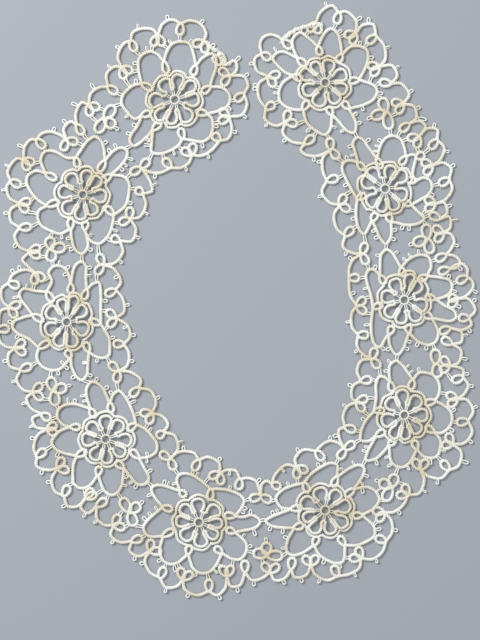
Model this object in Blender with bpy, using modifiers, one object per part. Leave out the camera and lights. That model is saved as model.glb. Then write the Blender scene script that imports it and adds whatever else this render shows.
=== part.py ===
"""A tatted lace collar, laid flat: ten medallions, nine trefoils and an edging of chains and rings.

Each piece is a flat slab with its underside at Z = 0. Plan places are written in squares of a drawing
grid (half a millimetre each), across to the right and down the page, from the drawing's top left corner.
"""

from collections import namedtuple
from math import cos, hypot, pi, sin

import bpy
import bmesh
from mathutils import Vector
from mathutils.geometry import delaunay_2d_cdt

# Driving dimensions, in metres
GRID = 0.0005               # one square of the drawing grid
THREAD_WIDTH = 0.0018       # a chain of double stitches, seen from above
SEAM_GAP = 0.0003           # between pieces that are joined by a picot
LACE_THICK = 0.0015         # chains and small rings
FLOWER_THICK = 0.0023       # the double petals stand higher
RING_WIDTH = 0.0052         # over the stitches of a small ring
TREFOIL_RING_WIDTH = 0.0060
RING_OVERLAP = 0.0008       # a ring's head runs this far past the middle of its chains
RING_FULLNESS = 0.25        # how much fuller a ring is at its far end than at its head
KNOT_CLEARANCE = 0.0016     # a stretch's last chain stops this far from the next stretch's knot
PETAL_REACH = 0.0148        # from a flower's middle to the tip of its outer petals
PETAL_DIP = 0.0014          # between two petals the rim falls back by this much
PETAL_TIP_ANGLE = 0.26      # a petal's tip is this wide to each side, in radians
PETAL_HOLE_FROM = 0.0050    # a petal's hole runs out from here, measured from the flower's middle
PETAL_HOLE_TO = 0.0106
PETAL_HOLE_WIDTH = 0.0034

# How closely the curves are followed
RING_POINTS = 6
# A petal's hole: shares of its length outward and of its half width sideways
HolePoint = namedtuple("HolePoint", "out aside")
PETAL_HOLE = [
    HolePoint(0.0, 0.0),
    HolePoint(0.55, -1.0),
    HolePoint(1.0, -0.5),
    HolePoint(1.0, 0.5),
    HolePoint(0.55, 1.0),
]
OUTLINE_TOLERANCE = 0.0002  # an outline point closer than this to its neighbours' line is left out
SMALLEST_HOLE = 2.0e-6      # square metres; a smaller gap between threads is closed

# The drawing's square that lies at the world's origin, under the middle of the collar
ORIGIN_SQUARE = (236.7, 300.5)

IVORY = (0.82, 0.77, 0.66)
OLD_IVORY = (0.78, 0.70, 0.56)

# A medallion's spokes, clockwise from the top. Each small ring stands on the flower at its foot and
# closes at its head. The arch runs from that head, through its points, to the next spoke's head.
# The petal is the middle of the flower's hole between this spoke and the next.
Spoke = namedtuple("Spoke", "foot head petal arch")
Medallion = namedtuple("Medallion", "name centre spokes")

MEDALLIONS = [
    Medallion("l1", (175, 100), [
        Spoke((168, 76), (164, 62), (178, 81), [(167, 52), (173, 44), (181, 42), (189, 44), (193, 52)]),
        Spoke((192, 77), (196, 66), (190, 87), [(203, 58), (212, 54), (216, 59), (216, 68), (212, 80)]),
        Spoke((201, 94), (210, 87), (193, 100), [(222, 88), (229, 94), (230, 101), (226, 108), (216, 112)]),
        Spoke((196, 112), (207, 114), (186, 116), [(212, 119), (213, 127), (210, 137), (202, 142), (194, 141)]),
        Spoke((180, 127), (183, 139), (172, 118), [(178, 146), (170, 151), (160, 154), (152, 152), (152, 142)]),
        Spoke((162, 122), (153, 130), (161, 115), [(146, 138), (134, 146), (130, 141), (132, 134), (137, 127)]),
        Spoke((152, 112), (142, 116), (156, 101), [(135, 119), (128, 113), (122, 104), (123, 96), (133, 86)]),
        Spoke((156, 92), (142, 84), (166, 86), [(139, 72), (139, 60), (144, 54), (151, 52), (158, 55)]),
    ]),
    Medallion("l2", (83, 195), [
        Spoke((79, 169), (76, 158), (87, 177), [(82, 149), (88, 141), (95, 137), (101, 141), (104, 149)]),
        Spoke((98, 174), (105, 161), (96, 182), [(114, 151), (122, 148), (127, 151), (127, 157), (120, 167)]),
        Spoke((101, 183), (111, 175), (97, 196), [(124, 177), (129, 183), (129, 193), (126, 205), (119, 212)]),
        Spoke((105, 206), (114, 215), (92, 209), [(113, 223), (110, 233), (104, 241), (98, 244), (91, 241), (87, 235)]),
        Spoke((86, 220), (85, 230), (81, 214), [(87, 237), (88, 247), (82, 254), (75, 249), (72, 239)]),
        Spoke((71, 217), (71, 229), (69, 208), [(60, 234), (51, 231), (42, 226), (38, 218), (39, 211)]),
        Spoke((60, 201), (47, 206), (65, 192), [(38, 200), (30, 190), (27, 183), (28, 176), (37, 171)]),
        Spoke((58, 180), (46, 174), (72, 180), [(41, 160), (45, 152), (51, 151), (58, 153), (67, 158)]),
    ]),
    Medallion("l3", (67, 322), [
        Spoke((71, 295), (71, 284), (74, 301), [(74, 269), (77, 264), (82, 262), (86, 266), (86, 278)]),
        Spoke((83, 301), (87, 290), (81, 311), [(93, 284), (99, 283), (101, 294), (101, 308)]),
        Spoke((88, 320), (101, 324), (81, 328), [(109, 338), (110, 347), (109, 355), (103, 358), (95, 356)]),
        Spoke((85, 341), (89, 352), (72, 341), [(88, 365), (87, 375), (82, 380), (77, 377), (72, 367)]),
        Spoke((66, 349), (71, 358), (60, 340), [(60, 369), (50, 370), (41, 365), (37, 357)]),
        Spoke((51, 341), (39, 348), (52, 329), [(29, 339), (19, 334), (13, 328), (14, 322), (22, 318)]),
        Spoke((45, 322), (33, 315), (55, 314), [(27, 307), (21, 299), (20, 293), (24, 289), (35, 291)]),
        Spoke((54, 303), (47, 292), (63, 306), [(52, 281), (49, 273), (53, 267), (60, 266), (67, 271)]),
    ]),
    Medallion("l4", (106, 439), [
        Spoke((112, 414), (110, 403), (117, 427), [(114, 394), (119, 391), (124, 395), (130, 405), (134, 415)]),
        Spoke((126, 431), (136, 424), (126, 440), [(145, 429), (152, 436), (157, 444), (156, 452), (148, 457)]),
        Spoke((130, 449), (139, 458), (120, 451), [(145, 469), (149, 478), (145, 484), (138, 484), (131, 477)]),
        Spoke((115, 461), (124, 468), (107, 457), [(122, 485), (118, 492), (112, 495), (105, 491)]),
        Spoke((100, 465), (98, 475), (97, 453), [(89, 486), (80, 488), (74, 483), (73, 474), (74, 463)]),
        Spoke((88, 450), (77, 456), (91, 439), [(64, 453), (56, 449), (52, 442), (56, 435), (62, 430)]),
        Spoke((82, 427), (71, 427), (93, 428), [(64, 425), (58, 418), (58, 411), (63, 406), (74, 404)]),
        Spoke((95, 418), (91, 409), (106, 423), [(87, 397), (87, 388), (92, 382), (101, 386)]),
    ]),
    Medallion("l5", (199, 522), [
        Spoke((210, 501), (211, 489), (214, 511), [(221, 489), (231, 491), (240, 495), (244, 500), (242, 507)]),
        Spoke((223, 515), (235, 516), (216, 523), [(243, 517), (251, 515), (258, 518), (260, 522), (256, 527)]),
        Spoke((225, 529), (235, 532), (212, 533), [(246, 543), (246, 552), (240, 559), (233, 559)]),
        Spoke((214, 546), (222, 553), (201, 540), [(216, 565), (209, 572), (201, 573), (194, 569)]),
        Spoke((190, 544), (188, 554), (189, 532), [(177, 563), (170, 564), (163, 560), (160, 551)]),
        Spoke((175, 529), (163, 536), (183, 521), [(149, 536), (144, 530), (144, 526), (148, 520)]),
        Spoke((174, 510), (163, 507), (186, 510), [(153, 494), (152, 488), (157, 485), (165, 486)]),
        Spoke((187, 497), (180, 491), (198, 505), [(177, 479), (181, 474), (189, 474), (199, 479)]),
    ]),
    Medallion("r5", (325, 510), [
        Spoke((309, 493), (304, 483), (321, 496), [(311, 474), (321, 467), (330, 463), (337, 465)]),
        Spoke((332, 488), (337, 477), (335, 496), [(350, 468), (359, 465), (364, 468), (363, 475)]),
        Spoke((344, 497), (354, 489), (344, 506), [(367, 487), (376, 492), (379, 500), (374, 508)]),
        Spoke((351, 516), (362, 515), (342, 522), [(374, 527), (374, 536), (367, 541), (357, 545)]),
        Spoke((338, 535), (345, 545), (330, 527), [(343, 561), (336, 563), (327, 560), (319, 554)]),
        Spoke((318, 535), (314, 545), (315, 527), [(302, 553), (292, 555), (287, 551), (287, 542)]),
        Spoke((305, 524), (294, 528), (310, 516), [(277, 527), (270, 525), (266, 521), (269, 518)]),
        Spoke((304, 507), (291, 509), (307, 503), [(281, 507), (276, 498), (281, 491), (291, 486)]),
    ]),
    Medallion("r4", (404, 415), [
        Spoke((393, 393), (390, 382), (402, 396), [(389, 372), (390, 365), (396, 361), (402, 365), (408, 373)]),
        Spoke((410, 391), (413, 380), (415, 402), [(419, 373), (427, 373), (434, 376), (439, 384), (439, 393)]),
        Spoke((423, 404), (435, 401), (418, 415), [(443, 405), (450, 411), (452, 418), (449, 427), (441, 433)]),
        Spoke((424, 426), (434, 432), (415, 427), [(440, 440), (440, 448), (437, 456), (430, 458), (423, 456)]),
        Spoke((413, 439), (417, 449), (405, 433), [(410, 462), (403, 467), (396, 466), (391, 461)]),
        Spoke((396, 438), (389, 445), (395, 432), [(384, 451), (375, 459), (366, 460), (367, 453)]),
        Spoke((386, 430), (376, 436), (391, 419), [(368, 441), (361, 440), (361, 432), (365, 422)]),
        Spoke((386, 410), (374, 411), (393, 405), [(376, 398), (376, 384), (379, 377), (384, 377)]),
    ]),
    Medallion("r3", (404, 300), [
        Spoke((386, 285), (380, 276), (396, 286), [(380, 263), (381, 255), (386, 250), (391, 252), (396, 259)]),
        Spoke((404, 278), (401, 268), (410, 279), [(407, 261), (413, 257), (420, 255), (428, 257), (431, 266)]),
        Spoke((417, 281), (427, 276), (415, 288), [(442, 278), (450, 281), (452, 287), (449, 294), (441, 298)]),
        Spoke((424, 296), (435, 299), (416, 304), [(445, 306), (454, 311), (456, 317), (451, 321), (441, 320)]),
        Spoke((422, 313), (432, 318), (415, 315), [(438, 332), (436, 341), (429, 345), (419, 342), (412, 336)]),
        Spoke((407, 323), (409, 333), (401, 317), [(406, 341), (403, 349), (397, 355), (392, 350), (389, 342)]),
        Spoke((393, 325), (389, 334), (391, 311), [(385, 339), (380, 347), (375, 345), (372, 337), (371, 325), (372, 315)]),
        Spoke((384, 304), (373, 308), (388, 297), [(371, 296), (367, 283), (366, 275), (369, 270), (374, 270)]),
    ]),
    Medallion("r2", (385, 189), [
        Spoke((365, 171), (358, 163), (373, 174), [(355, 152), (353, 143), (357, 138), (363, 140), (368, 147)]),
        Spoke((382, 170), (377, 159), (390, 172), [(380, 147), (385, 139), (392, 136), (400, 139), (404, 147)]),
        Spoke((399, 166), (406, 157), (401, 176), [(411, 155), (416, 156), (415, 162), (413, 170), (413, 176)]),
        Spoke((405, 180), (416, 181), (396, 193), [(423, 178), (429, 180), (432, 187), (428, 195), (420, 200)]),
        Spoke((401, 201), (411, 205), (393, 204), [(418, 212), (424, 219), (417, 224), (405, 225), (397, 223)]),
        Spoke((387, 213), (391, 222), (382, 206), [(391, 236), (386, 244), (380, 238), (376, 229)]),
        Spoke((377, 212), (372, 221), (375, 199), [(364, 234), (359, 229), (356, 216)]),
        Spoke((367, 194), (357, 199), (368, 182), [(350, 187), (345, 177), (342, 168), (345, 162), (352, 161)]),
    ]),
    Medallion("r1", (325, 83), [
        Spoke((321, 57), (318, 47), (328, 67), [(321, 40), (325, 33), (331, 29), (337, 33), (340, 41)]),
        Spoke((336, 64), (342, 55), (338, 77), [(351, 47), (361, 47), (367, 51), (368, 59), (365, 69)]),
        Spoke((347, 82), (359, 80), (341, 89), [(374, 86), (377, 91), (374, 99), (364, 105)]),
        Spoke((342, 101), (349, 109), (333, 96), [(356, 124), (354, 133), (347, 131), (339, 122)]),
        Spoke((327, 106), (332, 115), (319, 101), [(330, 130), (325, 135), (316, 131), (307, 123)]),
        Spoke((309, 100), (303, 110), (311, 89), [(295, 110), (286, 107), (280, 101), (279, 92), (283, 83)]),
        Spoke((304, 80), (293, 76), (304, 74), [(286, 73), (277, 65), (273, 59), (276, 54), (283, 52)]),
        Spoke((307, 67), (298, 59), (316, 68), [(293, 48), (293, 39), (300, 33), (308, 38)]),
    ]),
]

# Three small rings about a middle. Each point is a ring's far end.
Trefoil = namedtuple("Trefoil", "name centre tips")

TREFOILS = [
    Trefoil("l1_l2", (105, 119), [(115, 105), (116, 128), (96, 134)]),
    Trefoil("l2_l3", (51, 249), [(50, 236), (67, 247), (52, 263)]),
    Trefoil("l3_l4", (54, 391), [(50, 376), (68, 386), (56, 407)]),
    Trefoil("l4_l5", (130, 512), [(121, 497), (141, 503), (135, 527)]),
    Trefoil("l5_r5", (267, 555), [(252, 552), (266, 541), (284, 556)]),
    Trefoil("r5_r4", (391, 487), [(378, 481), (396, 473), (384, 502)]),
    Trefoil("r4_r3", (436, 364), [(435, 348), (438, 379)]),
    Trefoil("r3_r2", (427, 239), [(426, 223), (412, 244), (431, 255)]),
    Trefoil("r2_r1", (386, 112), [(381, 97), (370, 118), (390, 131)]),
]

# The edging, round by way of the outer side and back along the neck. A knot is the place where one ring
# or a pair of rings closes; a chain runs from it, through its points, to the next knot.
Knot = namedtuple("Knot", "place rings chain")
Stretch = namedtuple("Stretch", "name knots")
STRETCHES = [
    Stretch("outer_edge_l1", [
        Knot((229, 117), [(222, 121), (223, 112)], [(242, 115), (247, 105)]),
        Knot((244, 94), [(239, 98)], [(248, 86), (244, 77)]),
        Knot((229, 76), [(223, 72), (225, 82)], [(235, 73), (237, 66), (234, 61), (227, 65)]),
        Knot((221, 65), [(217, 60)], [(225, 61), (223, 55), (217, 51), (211, 48), (208, 43)]),
        Knot((204, 42), [(197, 44), (205, 49)], [(206, 33), (200, 24), (190, 21)]),
        Knot((181, 24), [(180, 33)], [(172, 20), (163, 24)]),
        Knot((158, 36), [(162, 43), (153, 45)], [(153, 30), (142, 29), (133, 33)]),
        Knot((131, 41), [(134, 48)], [(124, 44), (118, 57)]),
        Knot((122, 68), [(130, 71), (124, 77)], [(115, 67), (107, 74)]),
        Knot((108, 87), [(114, 91)], [(99, 88), (91, 94)]),
    ]),
    Stretch("outer_edge_l2", [
        Knot((89, 105), [(99, 108), (90, 113)], [(82, 103), (76, 114)]),
        Knot((77, 125), [(81, 131)], [(71, 122), (64, 129)]),
        Knot((67, 140), [(75, 142), (64, 148)], [(60, 135), (50, 132), (42, 134)]),
        Knot((37, 140), [(42, 145)], [(31, 140), (25, 147)]),
        Knot((24, 160), [(27, 167), (34, 163)], [(17, 159), (8, 172)]),
        Knot((11, 181), [(17, 184)], [(7, 187), (10, 198)]),
        Knot((20, 204), [(27, 202), (27, 211)], [(11, 210), (11, 221)]),
        Knot((20, 228), [(29, 227)], [(15, 236), (20, 247)]),
    ]),
    Stretch("outer_edge_l3", [
        Knot((30, 252), [(38, 248), (38, 256)], [(23, 260), (29, 267)]),
        Knot((36, 273), [(35, 281), (42, 278)], [(25, 270), (13, 275)]),
        Knot((9, 283), [(15, 285)], [(2, 289), (3, 301)]),
        Knot((10, 308), [(17, 305), (14, 314)], [(1, 311), (-1, 322)]),
        Knot((-2, 329), [(5, 329)], [(0, 341), (7, 347)]),
        Knot((16, 348), [(22, 343), (24, 353)], [(9, 354), (10, 366)]),
        Knot((21, 370), [(28, 367)], [(17, 380), (24, 390)]),
    ]),
    Stretch("outer_edge_l4", [
        Knot((34, 392), [(39, 387), (40, 397)], [(27, 398), (31, 408)]),
        Knot((42, 414), [(47, 417)], [(33, 418), (36, 427)]),
        Knot((48, 429), [(53, 426), (53, 432)], [(38, 435), (34, 448)]),
        Knot((37, 457), [(43, 452)], [(37, 466), (48, 470)]),
        Knot((58, 468), [(62, 460), (66, 470)], [(52, 479), (55, 491)]),
        Knot((64, 496), [(67, 489)], [(68, 506), (78, 506)]),
        Knot((86, 498), [(91, 491), (96, 494)], [(81, 507), (88, 513)]),
        Knot((97, 506), [(103, 502)], [(97, 518), (105, 525)]),
    ]),
    Stretch("outer_edge_l5", [
        Knot((114, 525), [(118, 517), (122, 527)], [(111, 535), (120, 542)]),
        Knot((132, 541), [(138, 539)], [(130, 551), (139, 556)]),
        Knot((150, 551), [(151, 543), (157, 551)], [(145, 560), (150, 572)]),
        Knot((160, 578), [(163, 571)], [(166, 587), (177, 586)]),
        Knot((183, 579), [(181, 571), (189, 575)], [(185, 589), (197, 595)]),
        Knot((209, 591), [(209, 582)], [(217, 595), (225, 588)]),
        Knot((227, 576), [(222, 568), (231, 568)], [(231, 586), (240, 585)]),
        Knot((245, 572), [(245, 565)], [(252, 580), (262, 578)]),
    ]),
    Stretch("outer_edge_r5", [
        Knot((270, 572), [(265, 566), (276, 567)], [(275, 580), (285, 578)]),
        Knot((291, 569), [(292, 562)], [(295, 577), (306, 575)]),
        Knot((311, 565), [(305, 558), (315, 559)], [(315, 574), (327, 580)]),
        Knot((338, 576), [(335, 570)], [(349, 574), (359, 568)]),
        Knot((361, 558), [(353, 558), (359, 551)], [(372, 559), (382, 552)]),
        Knot((386, 541), [(380, 539)], [(392, 532), (391, 520)]),
    ]),
    Stretch("outer_edge_r4", [
        Knot((384, 512), [(377, 511), (379, 519)], [(393, 512), (403, 505)]),
        Knot((408, 495), [(400, 495), (405, 487)], [(419, 493), (424, 480)]),
        Knot((420, 469), [(416, 463), (425, 463)], [(428, 476), (441, 478)]),
        Knot((449, 470), [(444, 464)], [(458, 466), (461, 452)]),
        Knot((452, 444), [(446, 445), (449, 437)], [(464, 443), (472, 432)]),
        Knot((468, 421), [(461, 422)], [(473, 411), (467, 400)]),
        Knot((457, 399), [(452, 403), (449, 395)], [(464, 394), (468, 385)]),
        Knot((463, 377), [(455, 380)], [(463, 370), (457, 367)]),
    ]),
    Stretch("outer_edge_r3", [
        Knot((449, 366), [(444, 360), (444, 369)], [(458, 363), (461, 351)]),
        Knot((452, 344), [(446, 341)], [(461, 342), (461, 332)]),
        Knot((450, 328), [(443, 331)], [(462, 330), (471, 325)]),
        Knot((469, 318), [(463, 318)], [(475, 310), (468, 299)]),
        Knot((457, 299), [(452, 298), (452, 304)], [(466, 296), (473, 287), (472, 281)]),
        Knot((467, 277), [(461, 280)], [(467, 269), (462, 264), (456, 265)]),
        Knot((449, 269), [(443, 271)], [(456, 268), (460, 262), (454, 256)]),
    ]),
    Stretch("outer_edge_r2", [
        Knot((446, 255), [(440, 258)], [(451, 249), (454, 241), (450, 234)]),
        Knot((443, 233), [(436, 229), (438, 239)], [(450, 228), (449, 217)]),
        Knot((440, 219), [(433, 216)], [(447, 213), (444, 203)]),
        Knot((435, 204), [(428, 209), (428, 200)], [(445, 200), (452, 189)]),
        Knot((449, 179), [(442, 183)], [(451, 169), (443, 163)]),
        Knot((432, 166), [(425, 163), (427, 172)], [(440, 160), (444, 148)]),
        Knot((437, 140), [(432, 146)], [(437, 130), (427, 129)]),
        Knot((419, 137), [(412, 138), (417, 145)], [(424, 129), (418, 121)]),
    ]),
    Stretch("outer_edge_r1", [
        Knot((409, 124), [(404, 128)], [(416, 119), (414, 107)]),
        Knot((403, 104), [(396, 103), (398, 112)], [(409, 95), (401, 84)]),
        Knot((391, 84), [(384, 83)], [(397, 76), (392, 66)]),
        Knot((379, 67), [(372, 66), (374, 73)], [(385, 60), (384, 46)]),
        Knot((376, 36), [(370, 41)], [(373, 25), (362, 26)]),
        Knot((356, 34), [(348, 35), (353, 41)], [(356, 21), (346, 12)]),
        Knot((339, 13), [(337, 21)], [(332, 6), (321, 12)]),
        Knot((316, 23), [(318, 30), (311, 29)], [(308, 26), (299, 30), (291, 36)]),
        Knot((283, 41), [(288, 45)], [(278, 37), (270, 35), (263, 38), (260, 45)]),
        Knot((262, 54), [(267, 57)], [(255, 59), (257, 71)]),
        Knot((269, 77), [(276, 75), (273, 84)], [(259, 84), (259, 98)]),
    ]),
    Stretch("neck_edge_r1", [
        Knot((266, 109), [(271, 106)], [(265, 119), (276, 126)]),
        Knot((286, 122), [(288, 114), (295, 124)], [(283, 133), (292, 142)]),
        Knot((305, 144), [(311, 139)], [(301, 150), (306, 155), (318, 156)]),
    ]),
    Stretch("neck_edge_r2", [
        Knot((331, 150), [(330, 142), (337, 157)], [(323, 158), (323, 172)]),
        Knot((327, 181), [(334, 179)], [(322, 192), (330, 203)]),
        Knot((340, 205), [(344, 197), (347, 209)], [(334, 215), (337, 229)]),
        Knot((345, 236), [(351, 230)], [(343, 247), (352, 253)]),
    ]),
    Stretch("neck_edge_r3", [
        Knot((362, 254), [(365, 245), (365, 260)], [(353, 260), (349, 269)]),
        Knot((349, 278), [(355, 278)], [(349, 288), (351, 297)]),
        Knot((357, 306), [(362, 301), (363, 311)], [(352, 313), (352, 327)]),
        Knot((358, 335), [(364, 335)], [(357, 346), (364, 355)]),
    ]),
    Stretch("neck_edge_r4", [
        Knot((372, 359), [(374, 352), (377, 365)], [(361, 361), (357, 371)]),
        Knot((361, 381), [(367, 380)], [(353, 386), (352, 398)]),
        Knot((357, 402), [(364, 399), (362, 409)], [(348, 406), (343, 416)]),
        Knot((345, 427), [(351, 429)], [(339, 430), (340, 440)]),
    ]),
    Stretch("neck_edge_r5", [
        Knot((345, 449), [(351, 445), (341, 455)], [(338, 443), (330, 441), (323, 444)]),
        Knot((316, 451), [(321, 457)], [(303, 450), (295, 459)]),
        Knot((297, 467), [(305, 470), (297, 476)], [(286, 465), (275, 475)]),
        Knot((272, 484), [(277, 486)], [(267, 481), (262, 484), (261, 489)]),
    ]),
    Stretch("neck_edge_l5", [
        Knot((261, 496), [(267, 499), (254, 498)], [(259, 489), (256, 481), (248, 478)]),
        Knot((240, 479), [(239, 485)], [(236, 471), (227, 470)]),
        Knot((220, 473), [(212, 476), (221, 482)], [(219, 463), (208, 457)]),
        Knot((199, 460), [(196, 466)], [(194, 453), (179, 452)]),
    ]),
    Stretch("neck_edge_l4", [
        Knot((170, 459), [(173, 466), (164, 455)], [(178, 449), (175, 436)]),
        Knot((164, 432), [(160, 435)], [(168, 424), (162, 416)]),
        Knot((152, 413), [(145, 413), (149, 422)], [(156, 403), (151, 391)]),
        Knot((139, 388), [(134, 393)], [(141, 380), (130, 372)]),
    ]),
    Stretch("neck_edge_l3", [
        Knot((118, 371), [(117, 380), (112, 365)], [(127, 366), (129, 353)]),
        Knot((124, 344), [(118, 344)], [(130, 337), (128, 326)]),
        Knot((116, 318), [(110, 313), (111, 324)], [(124, 312), (123, 299)]),
        Knot((116, 290), [(110, 293)], [(121, 282), (114, 269)]),
    ]),
    Stretch("neck_edge_l2", [
        Knot((103, 265), [(98, 272), (100, 257)], [(115, 263), (123, 252)]),
        Knot((120, 241), [(115, 239)], [(132, 241), (136, 229)]),
        Knot((130, 219), [(123, 222), (130, 211)], [(140, 217), (146, 205)]),
        Knot((143, 194), [(139, 191)], [(152, 191), (149, 179)]),
    ]),
    Stretch("neck_edge_l1", [
        Knot((141, 168), [(134, 172), (147, 162)], [(149, 172), (160, 173)]),
        Knot((171, 168), [(167, 163)], [(181, 168), (189, 163)]),
        Knot((192, 155), [(193, 147), (186, 152)], [(201, 156), (211, 151)]),
        Knot((220, 141), [(216, 137)], [(228, 139), (232, 129)]),
    ]),
]

# A short join of thread, from an arch of this medallion to an arch of the one before it
JOINS = {
    "l2": ((125, 149), (133, 145)),
    "l3": ((82, 262), (82, 252)),
    "l4": ((91, 383), (82, 380)),
    "l5": ((153, 487), (147, 481)),
    "r5": ((267, 520), (259, 520)),
    "r4": ((366, 459), (362, 466)),
    "r3": ((397, 356), (396, 362)),
    "r2": ((386, 244), (386, 251)),
    "r1": ((354, 132), (358, 139)),
}

# A ring that stands on an arch of its medallion: its head and its far end
LOOSE_RINGS = {
    "r2": ((416, 158), (426, 154)),
}


def plan(square):
    """The place of a square of the drawing grid, in metres."""
    return Vector((
        (square[0] - ORIGIN_SQUARE[0]) * GRID,
        (ORIGIN_SQUARE[1] - square[1]) * GRID,
    ))


def facing_up(outline):
    """The outline with its points anticlockwise."""
    turn = sum(a.cross(b) for a, b in zip(outline, outline[1:] + outline[:1]))
    return outline if turn > 0 else outline[::-1]


def strip(squares, width):
    """Four-sided pieces of a band along a line, their corners mitred where it bends."""
    line = [plan(square) for square in squares]
    ways = [(b - a).normalized() for a, b in zip(line, line[1:])]
    sides = []
    for place, before, after in zip(line, ways[:1] + ways, ways + ways[-1:]):
        mean = (before + after).normalized()
        across = Vector((-mean.y, mean.x)) * (width / 2 / max(mean.dot(after), 0.6))
        sides.append((place - across, place + across))
    return [facing_up([a[0], b[0], b[1], a[1]]) for a, b in zip(sides, sides[1:])]


def teardrop(head, far, width, margin=0.0):
    """The outline of a small ring: narrow at its head, where it closes, and round at its far end."""
    start, end = plan(head), plan(far)
    along = (end - start).normalized()
    across = Vector((-along.y, along.x))
    start -= along * (RING_OVERLAP + margin)
    half_length = ((end + along * margin) - start).length / 2
    outline = []
    for i in range(RING_POINTS):
        turn = 2 * pi * (i + 0.5) / RING_POINTS
        fullness = 1 - RING_FULLNESS * cos(turn)
        outline.append(
            start
            + along * half_length * (1 - cos(turn))
            + across * (width / 2 + margin) * fullness * sin(turn)
        )
    return facing_up(outline)


def polar(middle, angle, radius):
    return middle + Vector((cos(angle), sin(angle))) * radius


def flower_rim(medallion, margin=0.0):
    """The scalloped outline of a flower's petals."""
    middle = plan(medallion.centre)
    angles = []
    for spoke in medallion.spokes:
        out = plan(spoke.petal) - middle
        angle = Vector((1, 0)).angle_signed(out)
        angles.append(-angle)
    angles.sort()
    outline = []
    for angle, following in zip(angles, angles[1:] + [angles[0] + 2 * pi]):
        for side in (-PETAL_TIP_ANGLE, PETAL_TIP_ANGLE):
            outline.append(polar(middle, angle + side, PETAL_REACH + margin))
        outline.append(polar(middle, (angle + following) / 2, PETAL_REACH - PETAL_DIP + margin))
    return outline


def petal_holes(medallion):
    """The gap in each petal: pointed towards the flower's middle and round at the petal's tip."""
    middle = plan(medallion.centre)
    holes = []
    for spoke in medallion.spokes:
        along = (plan(spoke.petal) - middle).normalized()
        across = Vector((-along.y, along.x))
        holes.append([
            middle
            + along * (PETAL_HOLE_FROM + (PETAL_HOLE_TO - PETAL_HOLE_FROM) * row.out)
            + across * (PETAL_HOLE_WIDTH / 2) * row.aside
            for row in PETAL_HOLE
        ])
    return holes


def round_bands(medallion, margin=0.0):
    """The arches and small rings about one flower."""
    width = THREAD_WIDTH + 2 * margin
    spokes = medallion.spokes
    bands = []
    for spoke, following in zip(spokes, spokes[1:] + spokes[:1]):
        bands += strip([spoke.head, *spoke.arch, following.head], width)
        bands.append(teardrop(spoke.head, spoke.foot, RING_WIDTH, margin))
    if medallion.name in LOOSE_RINGS:
        bands.append(teardrop(*LOOSE_RINGS[medallion.name], RING_WIDTH, margin))
    if medallion.name in JOINS:
        bands += strip(JOINS[medallion.name], width)
    return bands


def trefoil_bands(trefoil, margin=0.0):
    return [teardrop(trefoil.centre, tip, TREFOIL_RING_WIDTH, margin) for tip in trefoil.tips]


def short_of(place, before):
    """The square just before a knot's place, on the way there."""
    across, down = place[0] - before[0], place[1] - before[1]
    share = 1 - KNOT_CLEARANCE / GRID / hypot(across, down)
    return (before[0] + across * share, before[1] + down * share)


def edging_bands(stretch, following, margin=0.0):
    """The rings and chains of one stretch of edging, almost to the next stretch's first knot."""
    bands = []
    knots = stretch.knots
    ends = [knot.place for knot in knots[1:]]
    ends.append(short_of(following.knots[0].place, knots[-1].chain[-1]))
    for knot, end in zip(knots, ends):
        bands += strip([knot.place, *knot.chain, end], THREAD_WIDTH + 2 * margin)
        for middle in knot.rings:
            far = (2 * middle[0] - knot.place[0], 2 * middle[1] - knot.place[1])
            bands.append(teardrop(knot.place, far, RING_WIDTH, margin))
    return bands


def reach(outlines):
    """The lowest and highest corners of some outlines."""
    points = [point for outline in outlines for point in outline]
    low = (min(p.x for p in points), min(p.y for p in points))
    high = (max(p.x for p in points), max(p.y for p in points))
    return low, high


def near(outline, low, high):
    (x0, y0), (x1, y1) = reach([outline])
    return x0 < high[0] and x1 > low[0] and y0 < high[1] and y1 > low[1]


def largest_body(triangles):
    """The triangles of the biggest connected region. What a neighbour cuts off past itself is dropped."""
    by_edge = {}
    for index, triangle in enumerate(triangles):
        for a, b in zip(triangle, triangle[1:] + triangle[:1]):
            by_edge.setdefault((min(a, b), max(a, b)), []).append(index)
    touching = {index: [] for index in range(len(triangles))}
    for sharers in by_edge.values():
        for index in sharers:
            touching[index] += sharers
    bodies, seen = [], set()
    for start in touching:
        if start in seen:
            continue
        seen.add(start)
        body, waiting = [], [start]
        while waiting:
            index = waiting.pop()
            body.append(triangles[index])
            for other in touching[index]:
                if other not in seen:
                    seen.add(other)
                    waiting.append(other)
        bodies.append(body)
    return max(bodies, key=len)


def covered(bands, cuts):
    """Points, and the triangles of one body that lie in some band and in no cut."""
    shapes = bands + cuts
    points = [point for shape in shapes for point in shape]
    faces, first = [], 0
    for shape in shapes:
        faces.append(list(range(first, first + len(shape))))
        first += len(shape)
    points, _, triangles, _, _, sources = delaunay_2d_cdt(points, [], faces, 1, 1e-7, True)
    kept = [
        tuple(triangle)
        for triangle, source in zip(triangles, sources)
        if source and max(source) < len(bands)
    ]
    return points, largest_body(kept)


def outlines_of(points, triangles):
    """The closed lines round the triangles, with the material on their left."""
    edges = {pair for t in triangles for pair in zip(t, t[1:] + t[:1])}
    ahead = {}
    for a, b in sorted(edges):
        if (b, a) not in edges:
            ahead.setdefault(a, []).append(b)
    loops = []
    while ahead:
        start = min(ahead)
        here, loop = start, []
        while here in ahead:
            loop.append(points[here])
            onward = ahead[here]
            following = onward.pop()
            if not onward:
                del ahead[here]
            here = following
        loops.append(loop)
    return loops


def area(outline):
    return sum(a.cross(b) for a, b in zip(outline, outline[1:] + outline[:1])) / 2


def away_from_line(point, before, after):
    """How far a point lies from the straight line between its neighbours."""
    way = after - before
    if way.length < 1e-9:
        return 0.0
    share = max(0.0, min(1.0, (point - before).dot(way) / way.length_squared))
    return (point - before - way * share).length


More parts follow.
